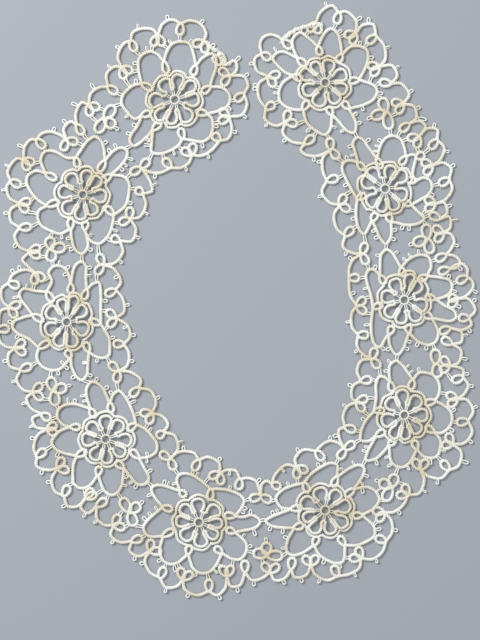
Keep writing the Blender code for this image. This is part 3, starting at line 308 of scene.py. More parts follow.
# The edging, round by way of the outer side and back along the neck. A knot is the place where one ring
# or a pair of rings closes; a chain runs from it, through its points, to the next knot.
Knot = namedtuple("Knot", "place rings chain")
Stretch = namedtuple("Stretch", "name knots")
STRETCH_PLACES = [
    ("outer_edge_l1", [
        ((229, 117), [(222, 121), (223, 112)], [(242, 115), (247, 105)]),
        ((244, 94), [(239, 98)], [(248, 86), (244, 77)]),
        ((229, 76), [(223, 72), (225, 82)], [(235, 73), (237, 66), (234, 61), (227, 65)]),
        ((221, 65), [(217, 60)], [(225, 61), (223, 55), (217, 51), (211, 48), (208, 43)]),
        ((204, 42), [(197, 44), (205, 49)], [(206, 33), (200, 24), (190, 21)]),
        ((181, 24), [(180, 33)], [(172, 20), (163, 24)]),
        ((158, 36), [(162, 43), (153, 45)], [(153, 30), (142, 29), (133, 33)]),
        ((131, 41), [(134, 48)], [(124, 44), (118, 57)]),
        ((122, 68), [(130, 71), (124, 77)], [(115, 67), (107, 74)]),
        ((108, 87), [(114, 91)], [(99, 88), (91, 94)]),
    ]),
    ("outer_edge_l2", [
        ((89, 105), [(99, 108), (90, 113)], [(82, 103), (76, 114)]),
        ((77, 125), [(81, 131)], [(71, 122), (64, 129)]),
        ((67, 140), [(75, 142), (64, 148)], [(60, 135), (50, 132), (42, 134)]),
        ((37, 140), [(42, 145)], [(31, 140), (25, 147)]),
        ((24, 160), [(27, 167), (34, 163)], [(17, 159), (8, 172)]),
        ((11, 181), [(17, 184)], [(7, 187), (10, 198)]),
        ((20, 204), [(27, 202), (27, 211)], [(11, 210), (11, 221)]),
        ((20, 228), [(29, 227)], [(15, 236), (20, 247)]),
    ]),
    ("outer_edge_l3", [
        ((30, 252), [(38, 248), (38, 256)], [(23, 260), (29, 267)]),
        ((36, 273), [(35, 281), (42, 278)], [(25, 270), (13, 275)]),
        ((9, 283), [(15, 285)], [(2, 289), (3, 301)]),
        ((10, 308), [(17, 305), (14, 314)], [(1, 311), (-1, 322)]),
        ((-2, 329), [(5, 329)], [(0, 341), (7, 347)]),
        ((16, 348), [(22, 343), (24, 353)], [(9, 354), (10, 366)]),
        ((21, 370), [(28, 367)], [(17, 380), (24, 390)]),
    ]),
    ("outer_edge_l4", [
        ((34, 392), [(39, 387), (40, 397)], [(27, 398), (31, 408)]),
        ((42, 414), [(47, 417)], [(33, 418), (36, 427)]),
        ((48, 429), [(53, 426), (53, 432)], [(38, 435), (34, 448)]),
        ((37, 457), [(43, 452)], [(37, 466), (48, 470)]),
        ((58, 468), [(62, 460), (66, 470)], [(52, 479), (55, 491)]),
        ((64, 496), [(67, 489)], [(68, 506), (78, 506)]),
        ((86, 498), [(91, 491), (96, 494)], [(81, 507), (88, 513)]),
        ((97, 506), [(103, 502)], [(97, 518), (105, 525)]),
    ]),
    ("outer_edge_l5", [
        ((114, 525), [(118, 517), (122, 527)], [(111, 535), (120, 542)]),
        ((132, 541), [(138, 539)], [(130, 551), (139, 556)]),
        ((150, 551), [(151, 543), (157, 551)], [(145, 560), (150, 572)]),
        ((160, 578), [(163, 571)], [(166, 587), (177, 586)]),
        ((183, 579), [(181, 571), (189, 575)], [(185, 589), (197, 595)]),
        ((209, 591), [(209, 582)], [(217, 595), (225, 588)]),
        ((227, 576), [(222, 568), (231, 568)], [(231, 586), (240, 585)]),
        ((245, 572), [(245, 565)], [(252, 580), (262, 578)]),
    ]),
    ("outer_edge_r5", [
        ((270, 572), [(265, 566), (276, 567)], [(275, 580), (285, 578)]),
        ((291, 569), [(292, 562)], [(295, 577), (306, 575)]),
        ((311, 565), [(305, 558), (315, 559)], [(315, 574), (327, 580)]),
        ((338, 576), [(335, 570)], [(349, 574), (359, 568)]),
        ((361, 558), [(353, 558), (359, 551)], [(372, 559), (382, 552)]),
        ((386, 541), [(380, 539)], [(392, 532), (391, 520)]),
    ]),
    ("outer_edge_r4", [
        ((384, 512), [(377, 511), (379, 519)], [(393, 512), (403, 505)]),
        ((408, 495), [(400, 495), (405, 487)], [(419, 493), (424, 480)]),
        ((420, 469), [(416, 463), (425, 463)], [(428, 476), (441, 478)]),
        ((449, 470), [(444, 464)], [(458, 466), (461, 452)]),
        ((452, 444), [(446, 445), (449, 437)], [(464, 443), (472, 432)]),
        ((468, 421), [(461, 422)], [(473, 411), (467, 400)]),
        ((457, 399), [(452, 403), (449, 395)], [(464, 394), (468, 385)]),
        ((463, 377), [(455, 380)], [(463, 370), (457, 367)]),
    ]),
    ("outer_edge_r3", [
        ((449, 366), [(444, 360), (444, 369)], [(458, 363), (461, 351)]),
        ((452, 344), [(446, 341)], [(461, 342), (461, 332)]),
        ((450, 328), [(443, 331)], [(462, 330), (471, 325)]),
        ((469, 318), [(463, 318)], [(475, 310), (468, 299)]),
        ((457, 299), [(452, 298), (452, 304)], [(466, 296), (473, 287), (472, 281)]),
        ((467, 277), [(461, 280)], [(467, 269), (462, 264), (456, 265)]),
        ((449, 269), [(443, 271)], [(456, 268), (460, 262), (454, 256)]),
    ]),
    ("outer_edge_r2", [
        ((446, 255), [(440, 258)], [(451, 249), (454, 241), (450, 234)]),
        ((443, 233), [(436, 229), (438, 239)], [(450, 228), (449, 217)]),
        ((440, 219), [(433, 216)], [(447, 213), (444, 203)]),
        ((435, 204), [(428, 209), (428, 200)], [(445, 200), (452, 189)]),
        ((449, 179), [(442, 183)], [(451, 169), (443, 163)]),
        ((432, 166), [(425, 163), (427, 172)], [(440, 160), (444, 148)]),
        ((437, 140), [(432, 146)], [(437, 130), (427, 129)]),
        ((419, 137), [(412, 138), (417, 145)], [(423.5, 131.5), (425.5, 127), (422, 122.5), (417, 121.5)]),
    ]),
    ("outer_edge_r1", [
        ((409, 124), [(404, 128)], [(416, 119), (414, 107)]),
        ((403, 104), [(396, 103), (398, 112)], [(409, 95), (401, 84)]),
        ((391, 84), [(384, 83)], [(397, 76), (392, 66)]),
        ((379, 67), [(372, 66), (374, 73)], [(385, 60), (384, 46)]),
        ((376, 36), [(370, 41)], [(373, 25), (362, 26)]),
        ((356, 34), [(348, 35), (353, 41)], [(356, 21), (346, 12)]),
        ((339, 13), [(337, 21)], [(332, 6), (321, 12)]),
        ((316, 23), [(318, 30), (311, 29)], [(309, 25.5), (300, 28.5), (291, 33)]),
        ((283, 41), [(288, 45)], [(278, 37), (270, 35), (263, 38), (260, 45)]),
        ((262, 54), [(267, 57)], [(255, 59), (257, 71)]),
        ((269, 77), [(276, 75), (273, 84)], [(259, 84), (259, 98)]),
    ]),
    ("neck_edge_r1", [
        ((266, 109), [(271, 106)], [(265, 119), (276, 126)]),
        ((286, 122), [(288, 114), (295, 124)], [(283, 133), (292, 142)]),
        ((305, 144), [(311, 139)], [(301, 150), (306, 155), (318, 156)]),
    ]),
    ("neck_edge_r2", [
        ((331, 150), [(330, 142), (337, 157)], [(323, 158), (323, 172)]),
        ((327, 181), [(334, 179)], [(322, 192), (330, 203)]),
        ((340, 205), [(344, 197), (347, 209)], [(334, 215), (337, 229)]),
        ((345, 236), [(351, 230)], [(343, 247), (352, 253)]),
    ]),
    ("neck_edge_r3", [
        ((362, 254), [(365, 245), (365, 260)], [(353, 260), (349, 269)]),
        ((349, 278), [(355, 278)], [(349, 288), (351, 297)]),
        ((357, 306), [(362, 301), (363, 311)], [(352, 313), (352, 327)]),
        ((358, 335), [(364, 335)], [(357, 346), (364, 355)]),
    ]),
    ("neck_edge_r4", [
        ((372, 359), [(374, 352), (377, 365)], [(361, 361), (357, 371)]),
        ((361, 381), [(367, 380)], [(353, 386), (352, 398)]),
        ((357, 402), [(364, 399), (362, 409)], [(348, 406), (343, 416)]),
        ((345, 427), [(351, 429)], [(339, 430), (340, 440)]),
    ]),
    ("neck_edge_r5", [
        ((345, 449), [(351, 445), (341, 455)], [(338, 443), (330, 441), (323, 444)]),
        ((316, 451), [(321, 457)], [(303, 450), (295, 459)]),
        ((297, 467), [(305, 470), (297, 476)], [(286, 465), (275, 475)]),
        ((272, 484), [(277, 486)], [(267, 481), (262, 484), (261, 489)]),
    ]),
    ("neck_edge_l5", [
        ((261, 496), [(267, 499), (254, 498)], [(259, 489), (256, 481), (248, 478)]),
        ((240, 479), [(239, 485)], [(236, 471), (227, 470)]),
        ((220, 473), [(212, 476), (221, 482)], [(219, 463), (208, 457)]),
        ((199, 460), [(196, 466)], [(194, 453), (179, 452)]),
    ]),
    ("neck_edge_l4", [
        ((170, 459), [(173, 466), (164, 455)], [(178, 449), (175, 436)]),
        ((164, 432), [(160, 435)], [(168, 424), (162, 416)]),
        ((152, 413), [(145, 413), (149, 422)], [(156, 403), (151, 391)]),
        ((139, 388), [(134, 393)], [(141, 380), (130, 372)]),
    ]),
    ("neck_edge_l3", [
        ((118, 371), [(117, 380), (112, 365)], [(127, 366), (129, 353)]),
        ((124, 344), [(118, 344)], [(130, 337), (128, 326)]),
        ((116, 318), [(110, 313), (111, 324)], [(124, 312), (123, 299)]),
        ((116, 290), [(110, 293)], [(121, 282), (114, 269)]),
    ]),
    ("neck_edge_l2", [
        ((103, 265), [(98, 272), (100, 257)], [(115, 263), (123, 252)]),
        ((120, 241), [(115, 239)], [(132, 241), (136, 229)]),
        ((130, 219), [(123, 222), (130, 211)], [(140, 217), (146, 205)]),
        ((143, 194), [(139, 191)], [(152, 191), (149, 179)]),
    ]),
    ("neck_edge_l1", [
        ((141, 168), [(134, 172), (147, 162)], [(149, 172), (160, 173)]),
        ((171, 168), [(167, 163)], [(181, 168), (189, 163)]),
        ((192, 155), [(193, 147), (186, 152)], [(201, 156), (211, 151)]),
        ((220, 141), [(216, 137)], [(228, 139), (232, 129)]),
    ]),
]
STRETCHES = [Stretch(name, [Knot(*places) for places in knots]) for name, knots in STRETCH_PLACES]

# The tips of the picots: small bare loops that stand off the chains, by piece
PICOTS = {
    "outer_edge_l1": [
        (244, 116), (248, 74), (240, 57), (211.5, 46.5), (203, 21), (167, 16), (138, 26), (117, 47),
        (108, 65), (91, 84),
    ],
    "outer_edge_l2": [(72, 103), (63, 120), (54, 130), (18, 145), (6, 165), (4, 190), (4, 213), (17, 244)],
    "outer_edge_l3": [(19, 266), (12, 270), (-2, 292), (5, 361), (12, 382)],
    "outer_edge_l4": [
        (22, 404), (30, 427), (32, 438), (42, 472), (48, 482), (64, 506), (85, 514), (95, 522),
    ],
    "outer_edge_l5": [
        (113, 541), (135, 557), (143, 563), (166, 589), (188, 595), (220, 598), (238, 592), (254, 584),
    ],
    "outer_edge_r5": [(284, 582), (302, 582), (319, 581), (355, 575), (377, 562), (395, 530)],
    "outer_edge_r4": [
        (400, 514), (424, 491), (437, 484), (468, 463), (471, 442), (475, 407), (471, 386), (467, 374),
    ],
    "outer_edge_r3": [
        (467, 359.5), (470, 331.5), (467.5, 335), (474, 300.5), (477, 293), (459.5, 307), (461, 269.5),
    ],
    "outer_edge_r2": [(457.5, 246), (457.5, 220), (449, 206), (454, 165), (448.5, 152), (434.5, 124)],
    "outer_edge_r1": [
        (426, 120), (419.5, 107.5), (410, 91.5), (399, 66.5), (389.5, 47), (368.5, 18), (361.5, 17.5),
        (325.5, 4), (251.5, 64), (254, 85), (253.5, 89),
    ],
    "neck_edge_r1": [(265, 126.5), (283, 142), (313.5, 158)],
    "neck_edge_r2": [(320, 162), (321, 196), (346.5, 252)],
    "neck_edge_r3": [(351, 259), (353, 293), (347, 322), (358, 350)],
    "neck_edge_r4": [(363, 357.5), (352, 386), (345, 406), (333, 436)],
    "neck_edge_r5": [(330, 439.5), (299, 452.5), (281, 469)],
    "neck_edge_l5": [(258, 481), (229.5, 474), (219, 460), (183.5, 449.5)],
    "neck_edge_l4": [(181.5, 441.5), (156, 399)],
    "neck_edge_l3": [(132, 361), (132, 335), (128, 305), (119, 276), (125.5, 327)],
    "neck_edge_l2": [(122, 263), (139, 238), (147, 214), (157, 184)],
    "neck_edge_l1": [(155, 177), (187, 171), (209, 158), (234, 132)],
    "arches_l1": [
        (203, 148), (175, 155), (146.5, 47), (168.5, 40.5), (191.5, 40.5), (133, 63.5), (136, 81.5),
        (125.5, 117.5), (134.5, 125.5), (127, 133), (148.5, 140.5), (230.5, 109.5), (217.5, 126.5),
    ],
    "arches_l2": [
        (133, 160), (107.5, 142), (114.5, 144), (109.5, 151), (126.5, 166), (121, 168.5), (128.5, 202.5),
        (118, 231.5), (109.5, 240), (92.5, 234.5), (92.5, 250.5), (66.5, 239), (62, 237.5), (72, 249),
    ],
    "arches_l3": [
        (60, 261), (69.5, 266), (65, 274.5), (91, 267.5), (89.5, 275.5), (107.5, 301), (115, 337),
        (27.5, 284.5), (13, 298), (8.5, 321), (16.5, 338), (85.5, 362.5), (97, 361), (58.5, 373.5),
        (61.5, 361.5), (66, 367), (72, 378), (92, 376), (84.5, 363),
    ],
    "arches_l4": [
        (80.5, 396), (84, 401), (97.5, 377.5), (68, 398), (75, 399.5), (108.5, 386.5), (111, 392.5),
        (136, 400.5), (151.5, 428.5), (146.5, 452), (147, 460.5), (152, 469.5), (135, 488), (130, 483),
        (127, 486), (126.5, 476.5), (56.5, 457), (85, 491.5),
    ],
    "arches_l5": [
        (165, 480), (169.5, 481.5), (174, 483.5), (147, 496), (155, 506.5), (150, 514), (143, 517),
        (157.5, 561.5), (175.5, 571.5), (195, 575.5), (217.5, 573), (198, 473.5), (230.5, 486),
        (246, 508.5), (242.5, 511.5), (250.5, 509.5), (244, 535), (255.5, 535.5), (250.5, 546),
    ],
    "arches_r5": [
        (317, 463), (287.5, 482.5), (277, 510.5), (283.5, 510.5), (272.5, 512.5), (269, 530.5),
        (282.5, 533.5), (285, 537), (281.5, 548), (322.5, 563.5), (340.5, 568), (361, 483), (363, 493),
        (379, 490), (381, 528.5), (352.5, 461), (341, 469), (368.5, 476.5),
    ],
    "arches_r4": [
        (362, 418.5), (365.5, 446.5), (362, 450), (377.5, 465), (387.5, 466.5), (387, 457),
        (445.5, 451.5), (430.5, 464.5), (455.5, 409), (453.5, 431.5), (385, 371), (413, 371), (408, 468),
        (387.5, 359.5), (409.5, 365), (418.5, 368.5),
    ],
    "arches_r3": [
        (364, 325), (386.5, 350), (382.5, 348), (408.5, 349.5), (411, 342.5), (416.5, 345.5), (426, 349),
        (363.5, 289), (375.5, 266.5), (376, 255), (398, 251.5), (403, 258), (418.5, 251.5), (410, 256),
        (449, 275.5), (456.5, 292),
    ],
    "arches_r2": [
        (370, 139), (378.5, 140), (375, 145.5), (376, 151.5), (348.5, 147), (346.5, 157), (351, 155.5),
        (345, 185.5), (351.5, 219), (430.5, 174.5), (431.5, 194.5), (373.5, 231), (375.5, 238),
        (395, 230), (401.5, 229.5), (409, 230.5), (394, 239.5),
    ],
    "arches_r1": [
        (341, 31), (360, 43), (373, 58), (274, 47.5), (274, 93), (306.5, 132), (335.5, 127.5),
        (341, 132), (357, 113), (359.5, 123), (363, 110), (355.5, 114.5), (382.5, 94),
    ],
}

# Pairs of bare threads between places, drawn with a medallion's arches
JOINS = {
    "l1": [((144, 145), (151, 145.5)), ((146.5, 142), (151.5, 135))],
    "l2": [((125, 149), (133, 145))],
    "l3": [((82, 262), (82, 252))],
    "l4": [((91, 383), (82, 380))],
    "l5": [((153, 487), (147, 481)), ((194, 537), (198, 536))],
    "r5": [((267, 520), (259, 520))],
    "r4": [((366, 459), (362, 466))],
    "r3": [((397, 356), (396, 362))],
    "r2": [((386, 244), (386, 251))],
    "r1": [((354, 132), (358, 139))],
}

# A ring that stands on an arch of its medallion: its head and its far end
LOOSE_RINGS = {
    "r2": ((416, 158), (426, 154)),
}
# The darned ends at the opening: bare threads wound round a line
DARNING = {
    "outer_edge_l1": [(213, 49), (218, 52), (222, 57), (225, 62), (231, 65)],
    "outer_edge_r1": [(323, 25), (315, 25), (308, 26.5), (299, 29), (291, 33), (284, 39), (281, 44)],
}


def plan(square):
    """The place of a square of the drawing grid, in metres."""
    return np.array([
        (square[0] - ORIGIN_SQUARE[0]) * GRID,
        (ORIGIN_SQUARE[1] - square[1]) * GRID,
    ])


def smooth_line(points, step):
    """Points a step apart on one smooth curve through the given points (centripetal Catmull-Rom)."""
    points = np.asarray(points, float)
    ahead = 2 * points[0] - points[1]
    behind = 2 * points[-1] - points[-2]
    padded = np.vstack([ahead, points, behind])
    dense = []
    for p0, p1, p2, p3 in zip(padded, padded[1:], padded[2:], padded[3:]):
        t0 = 0.0
        t1 = t0 + max(np.linalg.norm(p1 - p0), LEAST_GAP) ** 0.5
        t2 = t1 + max(np.linalg.norm(p2 - p1), LEAST_GAP) ** 0.5
        t3 = t2 + max(np.linalg.norm(p3 - p2), LEAST_GAP) ** 0.5
        for t in np.linspace(t1, t2, CURVE_POINTS, endpoint=False):
            a1 = (t1 - t) / (t1 - t0) * p0 + (t - t0) / (t1 - t0) * p1
            a2 = (t2 - t) / (t2 - t1) * p1 + (t - t1) / (t2 - t1) * p2
            a3 = (t3 - t) / (t3 - t2) * p2 + (t - t2) / (t3 - t2) * p3
            b1 = (t2 - t) / (t2 - t0) * a1 + (t - t0) / (t2 - t0) * a2
            b2 = (t3 - t) / (t3 - t1) * a2 + (t - t1) / (t3 - t1) * a3
            dense.append((t2 - t) / (t2 - t1) * b1 + (t - t1) / (t2 - t1) * b2)
    dense.append(points[-1])
    return even_steps(np.array(dense), step)


def even_steps(line, step):
    """The line's points moved to even steps along it."""
    lengths = np.linalg.norm(np.diff(line, axis=0), axis=1)
    along = np.concatenate([[0.0], np.cumsum(lengths)])
    count = max(LEAST_POINTS, int(round(along[-1] / step)) + 1)
    wanted = np.linspace(0, along[-1], count)
    return np.stack([np.interp(wanted, along, line[:, k]) for k in range(line.shape[1])], axis=1)


def tube_faces(first, length, sides):
    """The faces of a tube of so many rings of points, with a point for each end after the last ring."""
    ring = np.arange(sides)
    following = (ring + 1) % sides
    starts = first + np.arange(length - 1)[:, None] * sides
    quads = np.stack([
        starts + ring, starts + following, starts + sides + following, starts + sides + ring,
    ], axis=-1).reshape(-1, 4)
    tail = first + length * sides
    last = tail - sides
    front = [[tail, first + a, first + b] for a, b in zip(ring, following)]
    back = [[tail + 1, last + b, last + a] for a, b in zip(ring, following)]
    return quads[:, ::-1].tolist() + front + back


class Threadwork:
    """The threads of one piece, gathered as one mesh."""

    def __init__(self, name):
        self.name = name
        self.points, self.faces = [], []
        self.middles, self.grooves = [], []  # for each point: the thread's middle, how deep it lies
        self.lines, self.stitched = [], []  # all threads, and those with stitches
        self.ring_ends = []
        self.run = 0.0  # the length of an edging
        self.count = 0

    def thread(self, line, height, half_width, half_height, sides, size, groove, slant):
        """A thread along a line on the plan, with closed ends."""
        line = np.column_stack([line, np.broadcast_to(height, len(line))])
        tangents = np.gradient(line, axis=0)
        tangents /= np.linalg.norm(tangents, axis=1)[:, None]
        across = np.cross(tangents, [0.0, 0.0, 1.0])
        across /= np.linalg.norm(across, axis=1)[:, None]
        up = np.cross(across, tangents)
        size[0] = size[-1] = END_SIZE
        turns = 2 * pi * (np.arange(sides) + 0.5) / sides
        rings = (
            line[:, None, :]
            + across[:, None, :] * (np.cos(turns) * half_width)[None, :, None] * size[:, None, None]
            + up[:, None, :] * (np.sin(turns) * half_height)[None, :, None] * size[:, None, None]
            + tangents[:, None, :] * (np.cos(turns) * half_width * slant)[None, :, None]
        )
        rings[..., 2] = np.maximum(rings[..., 2], LEAST_HEIGHT)
        ends = line[[0, -1]]
        self.faces += tube_faces(self.count, len(line), sides)
        self.points += [rings.reshape(-1, 3), ends]
        self.middles += [np.repeat(line, sides, axis=0), ends]
        self.grooves += [np.repeat(groove, sides), np.zeros(len(ends))]
        self.lines.append(line)
        self.count += len(line) * sides + len(ends)

    def stitch(self, line, height, half_width):
        """A thread of double stitches with grooves between them."""
        steps = np.arange(len(line))
        groove = np.array(STITCH_GROOVES)[steps % len(STITCH_GROOVES)]
        size = 1 - RIB_DEPTH * groove
        size *= 1 + SWELL * np.sin(steps * SWELL_TURN + line[0, 0] * SWELL_START)
        self.thread(line, height, half_width, CHAIN_HALF_HEIGHT, SIDES, size, groove, RIB_SLANT)
        self.stitched.append(line)

    def bare(self, line, height, half_width, white=0.0):
        """A round thread without stitches, which may be whiter than the rest."""
        groove = np.full(len(line), -white)
        size = np.ones(len(line))
        self.thread(line, height, half_width, half_width, BARE_SIDES, size, groove, 0.0)

    def chain(self, squares):
        """A chain of stitches through squares of the drawing."""
        line = smooth_line([plan(square) for square in squares], STEP)
        self.stitch(line, LOW, CHAIN_HALF_WIDTH)

    def ring(self, head, far, width=EDGE_RING_WIDTH, longest=EDGE_RING_LENGTH):
        """A small ring of stitches that closes at its head."""
        start, end = plan(head), plan(far)
        reach = np.linalg.norm(end - start)
        along = (end - start) / reach
        across = np.array([-along[1], along[0]])
        length = min(reach - RING_HALF_WIDTH, longest)
        turns = np.linspace(0, 2 * pi, RING_POINTS)
        line = (
            start
            + np.outer((1 - np.cos(turns)) * length / 2, along)
            + np.outer(np.sin(turns) * (1 - RING_FULLNESS * np.cos(turns)) * width / 2, across)
        )
        self.stitch(even_steps(line, STEP), LOW, RING_HALF_WIDTH)
        self.ring_ends.append((start + along * length, along))

    def join(self, start, end):
        """Two bare threads side by side, from place to place on the plan."""
        along = (end - start) / np.linalg.norm(end - start)
        across = np.array([-along[1], along[0]]) * JOIN_SPREAD
        for side in (-1, 1):
            ends = np.array([start + side * across, end + side * across * JOIN_END_SHARE])
            self.bare(even_steps(ends, JOIN_STEP), LOW, PICOT_HALF_WIDTH)

    def picot(self, tip):
        """A bare loop from the nearest stitch to its tip."""
        tip = plan(tip)
        stitches = np.vstack(self.stitched)
        root = stitches[np.linalg.norm(stitches - tip, axis=1).argmin()]
        self.loop(root, tip - root)

    def loop(self, root, reach):
        """A bare loop of thread that stands off a chain, each twisted a little differently."""
        length = max(np.linalg.norm(reach), PICOT_LEAST)
        along = reach / np.linalg.norm(reach)
        across = np.array([-along[1], along[0]])
        turn = root[0] * PICOT_TWIST_TURNS[0] + root[1] * PICOT_TWIST_TURNS[1]
        twist = PICOT_TWIST + PICOT_TWIST_SPREAD * sin(turn)
        turns = np.linspace(PICOT_MOUTH, 2 * pi - PICOT_MOUTH, PICOT_POINTS)
        aside = np.sin(turns) * (1 - PICOT_FULLNESS * np.cos(turns)) * PICOT_WIDTH / 2
        line = (
            root
            + np.outer((1 - np.cos(turns)) * length / 2, along)
            + np.outer(aside * cos(twist), across)
        )
        self.bare(line, LOW + aside * sin(twist) * PICOT_LIFT, PICOT_HALF_WIDTH, PICOT_WHITE)

    def wind(self, squares):
        """Bare threads wound round a line through squares of the drawing."""
        middle = smooth_line([plan(square) for square in squares], DARNING_PITCH / DARNING_STEPS)
        tangents = np.gradient(middle, axis=0)
        tangents /= np.linalg.norm(tangents, axis=1)[:, None]
        across = np.column_stack([-tangents[:, 1], tangents[:, 0]])
        steps = np.arange(len(middle))
        for number in range(DARNING_THREADS):
            turns = 2 * pi * (steps / DARNING_STEPS + number / DARNING_THREADS)
            turns += DARNING_SLIP * np.sin(steps * DARNING_SLIP_TURN + number)
            swing = DARNING_SWING_SPREAD * np.sin(steps * DARNING_SWING_TURN + 2 * number)
            swing = DARNING_REACH * (DARNING_SWING + swing)
            line = middle + across * (np.sin(turns) * swing)[:, None]
            height = np.maximum(LOW + np.cos(turns) * DARNING_RISE, DARNING_HALF_WIDTH)
            self.bare(line, height, DARNING_HALF_WIDTH, DARNING_WHITE)

    def flat(self):
        """The width and length of the rectangle that the piece fills when it's laid straight."""
        if "edge" in self.name:
            return EDGING_WIDTH, self.run
        wide, long = np.ptp(np.vstack(self.lines)[:, :2], axis=0) + 2 * CHAIN_HALF_WIDTH
        return max(NARROWEST_FLAT, float(wide)), max(NARROWEST_FLAT, float(long))

    def build(self, name, material):
        """The piece's mesh, as an object in the scene."""
        mesh = bpy.data.meshes.new(name)
        mesh.from_pydata(np.vstack(self.points).tolist(), [], self.faces)
        mesh.polygons.foreach_set("use_smooth", [True] * len(mesh.polygons))
        mesh.materials.append(material)
        piece = bpy.data.objects.new(name, mesh)
        bpy.context.scene.collection.objects.link(piece)
        return piece


# A petal of a flower: the angles of its middle and of the valleys to each side, how much fuller than
# usual it is, how far its crest leans, and how much further out it lies, in squares
Petal = namedtuple("Petal", "angle low high fullness lean shift")


def upper_petal(polar, petal, start, end):
    """The places that a petal of the upper round goes through, from foot to foot."""
    left, right = [], []
    for radius, half_width in PETAL_SIDES:
        half = half_width * petal.fullness / radius
        room = PETAL_ROOM / radius
        left.append(polar(max(petal.low + room, petal.angle - half), radius + petal.shift))
        right.append(polar(min(petal.high - room, petal.angle + half), radius + petal.shift))
    crest = polar(petal.angle + petal.lean, PETAL_CREST + petal.shift * CREST_SHARE)
    return [polar(petal.low, start), *left, crest, *right[::-1], polar(petal.high, end)]


def lower_petal(polar, petal, start, end, crest):
    """The places that a petal of the lower round goes through, a little further out."""
    shoulder = (petal.high - petal.low) * SHOULDER_SHARE
    return [
        polar(petal.low, start),
        polar(petal.low + shoulder, crest - SHOULDER_DROP),
        polar(petal.angle + petal.lean, crest),
        polar(petal.high - shoulder, crest - SHOULDER_DROP),
        polar(petal.high, end),
    ]


def bare_spokes(work, polar, angle, foot):
    """A pair of bare threads from the centre ring to the foot between two petals."""
    radii = (SPOKE_START, SPOKE_MIDDLE, foot + SPOKE_PAST_FOOT)
    for side in (-1, 1):
        across = np.array([-sin(angle), cos(angle)]) * side * SPOKE_SPREAD * GRID
        places = [polar(angle, radius) + across * share for radius, share in zip(radii, SPOKE_SHARES)]
        work.bare(smooth_line(places, SPOKE_STEP), HIGH, SPOKE_HALF_WIDTH)


def flower(medallion):
    """The centre ring, the two rounds of petals and the bare spokes."""
    work = Threadwork(f"flower_{medallion.name}")
    middle = plan(medallion.centre)
    hand = np.random.default_rng(sum(medallion.centre))
    holes = [plan(spoke.petal) - middle for spoke in medallion.spokes]
    holes.sort(key=lambda out: np.arctan2(out[1], out[0]))
    angles = [float(np.arctan2(out[1], out[0])) for out in holes]
    shifts = [float(hypot(*out)) / GRID - USUAL_REACH for out in holes]
    following = angles[1:] + [angles[0] + 2 * pi]
    valleys = [(a + b) / 2 for a, b in zip(angles, following)]
    before = [valleys[-1] - 2 * pi] + valleys[:-1]
    feet = PETAL_FOOT + hand.uniform(0, PETAL_FOOT_SPREAD, len(angles))
    outer_feet = OUTER_FOOT + hand.uniform(-OUTER_FOOT_SPREAD, OUTER_FOOT_SPREAD, len(angles))

    def polar(angle, squares):
        return middle + np.array([cos(angle), sin(angle)]) * squares * GRID

    turns = np.linspace(0, 2 * pi, CENTRE_RING_POINTS)
    centre_ring = np.array([polar(turn, CENTRE_RING) for turn in turns])
    work.stitch(even_steps(centre_ring, STEP), HIGH, CENTRE_RING_HALF_WIDTH)
    for index, (angle, shift, low, high) in enumerate(zip(angles, shifts, before, valleys)):
        room = min(max((high - low) / USUAL_SPAN, LEAST_FULLNESS), MOST_FULLNESS)
        fullness = hand.uniform(*FULLNESS_RANGE) * room
        lean = hand.uniform(-LEAN, LEAN)
        shift = REACH_SHARE * min(max(shift, -MOST_SHIFT), MOST_SHIFT)
        shift += hand.uniform(-SHIFT_SPREAD, SHIFT_SPREAD)
        crest = OUTER_CREST + shift * OUTER_CREST_SHARE + hand.uniform(*OUTER_CREST_RANGE)
        petal = Petal(angle, low, high, fullness, lean, shift)
        upper = upper_petal(polar, petal, feet[index - 1], feet[index])
        work.stitch(smooth_line(upper, STEP), HIGH, PETAL_HALF_WIDTH)
        lower = lower_petal(polar, petal, outer_feet[index - 1], outer_feet[index], crest)
        work.stitch(smooth_line(lower, STEP), LOW, PETAL_HALF_WIDTH)
        bare_spokes(work, polar, high, feet[index])
    return work


def arches(medallion):
    """The round about a flower: a small ring and an arch for each spoke."""
    work = Threadwork(f"arches_{medallion.name}")
    spokes = medallion.spokes
    for spoke, after in zip(spokes, spokes[1:] + spokes[:1]):
        work.chain([spoke.head, *spoke.arch, after.head])
        work.ring(spoke.head, spoke.foot, SPOKE_RING_WIDTH, SPOKE_RING_LENGTH)
    if medallion.name in LOOSE_RINGS:
        work.ring(*LOOSE_RINGS[medallion.name])
    for start, end in JOINS.get(medallion.name, []):
        work.join(plan(start), plan(end))
    return work


def trefoil_rings(trefoil):
    """The rings of a trefoil, round its middle."""
    work = Threadwork(f"trefoil_{trefoil.name}")
    for tip in trefoil.tips:
        work.ring(trefoil.centre, tip, TREFOIL_RING_WIDTH, TREFOIL_RING_LENGTH)
    return work


def edging(stretch, after):
    """A stretch of edging, up to the first knot of the stretch after it."""
    work = Threadwork(stretch.name)
    ends = [knot.place for knot in stretch.knots[1:]] + [after.knots[0].place]
    for knot, end in zip(stretch.knots, ends):
        work.chain([knot.place, *knot.chain, end])
        work.run += float(np.linalg.norm(plan(end) - plan(knot.place)))
        for middle in knot.rings:
            far = (2 * middle[0] - knot.place[0], 2 * middle[1] - knot.place[1])
            work.ring(knot.place, far)
    if stretch.name in DARNING:
        work.wind(DARNING[stretch.name])
    return work


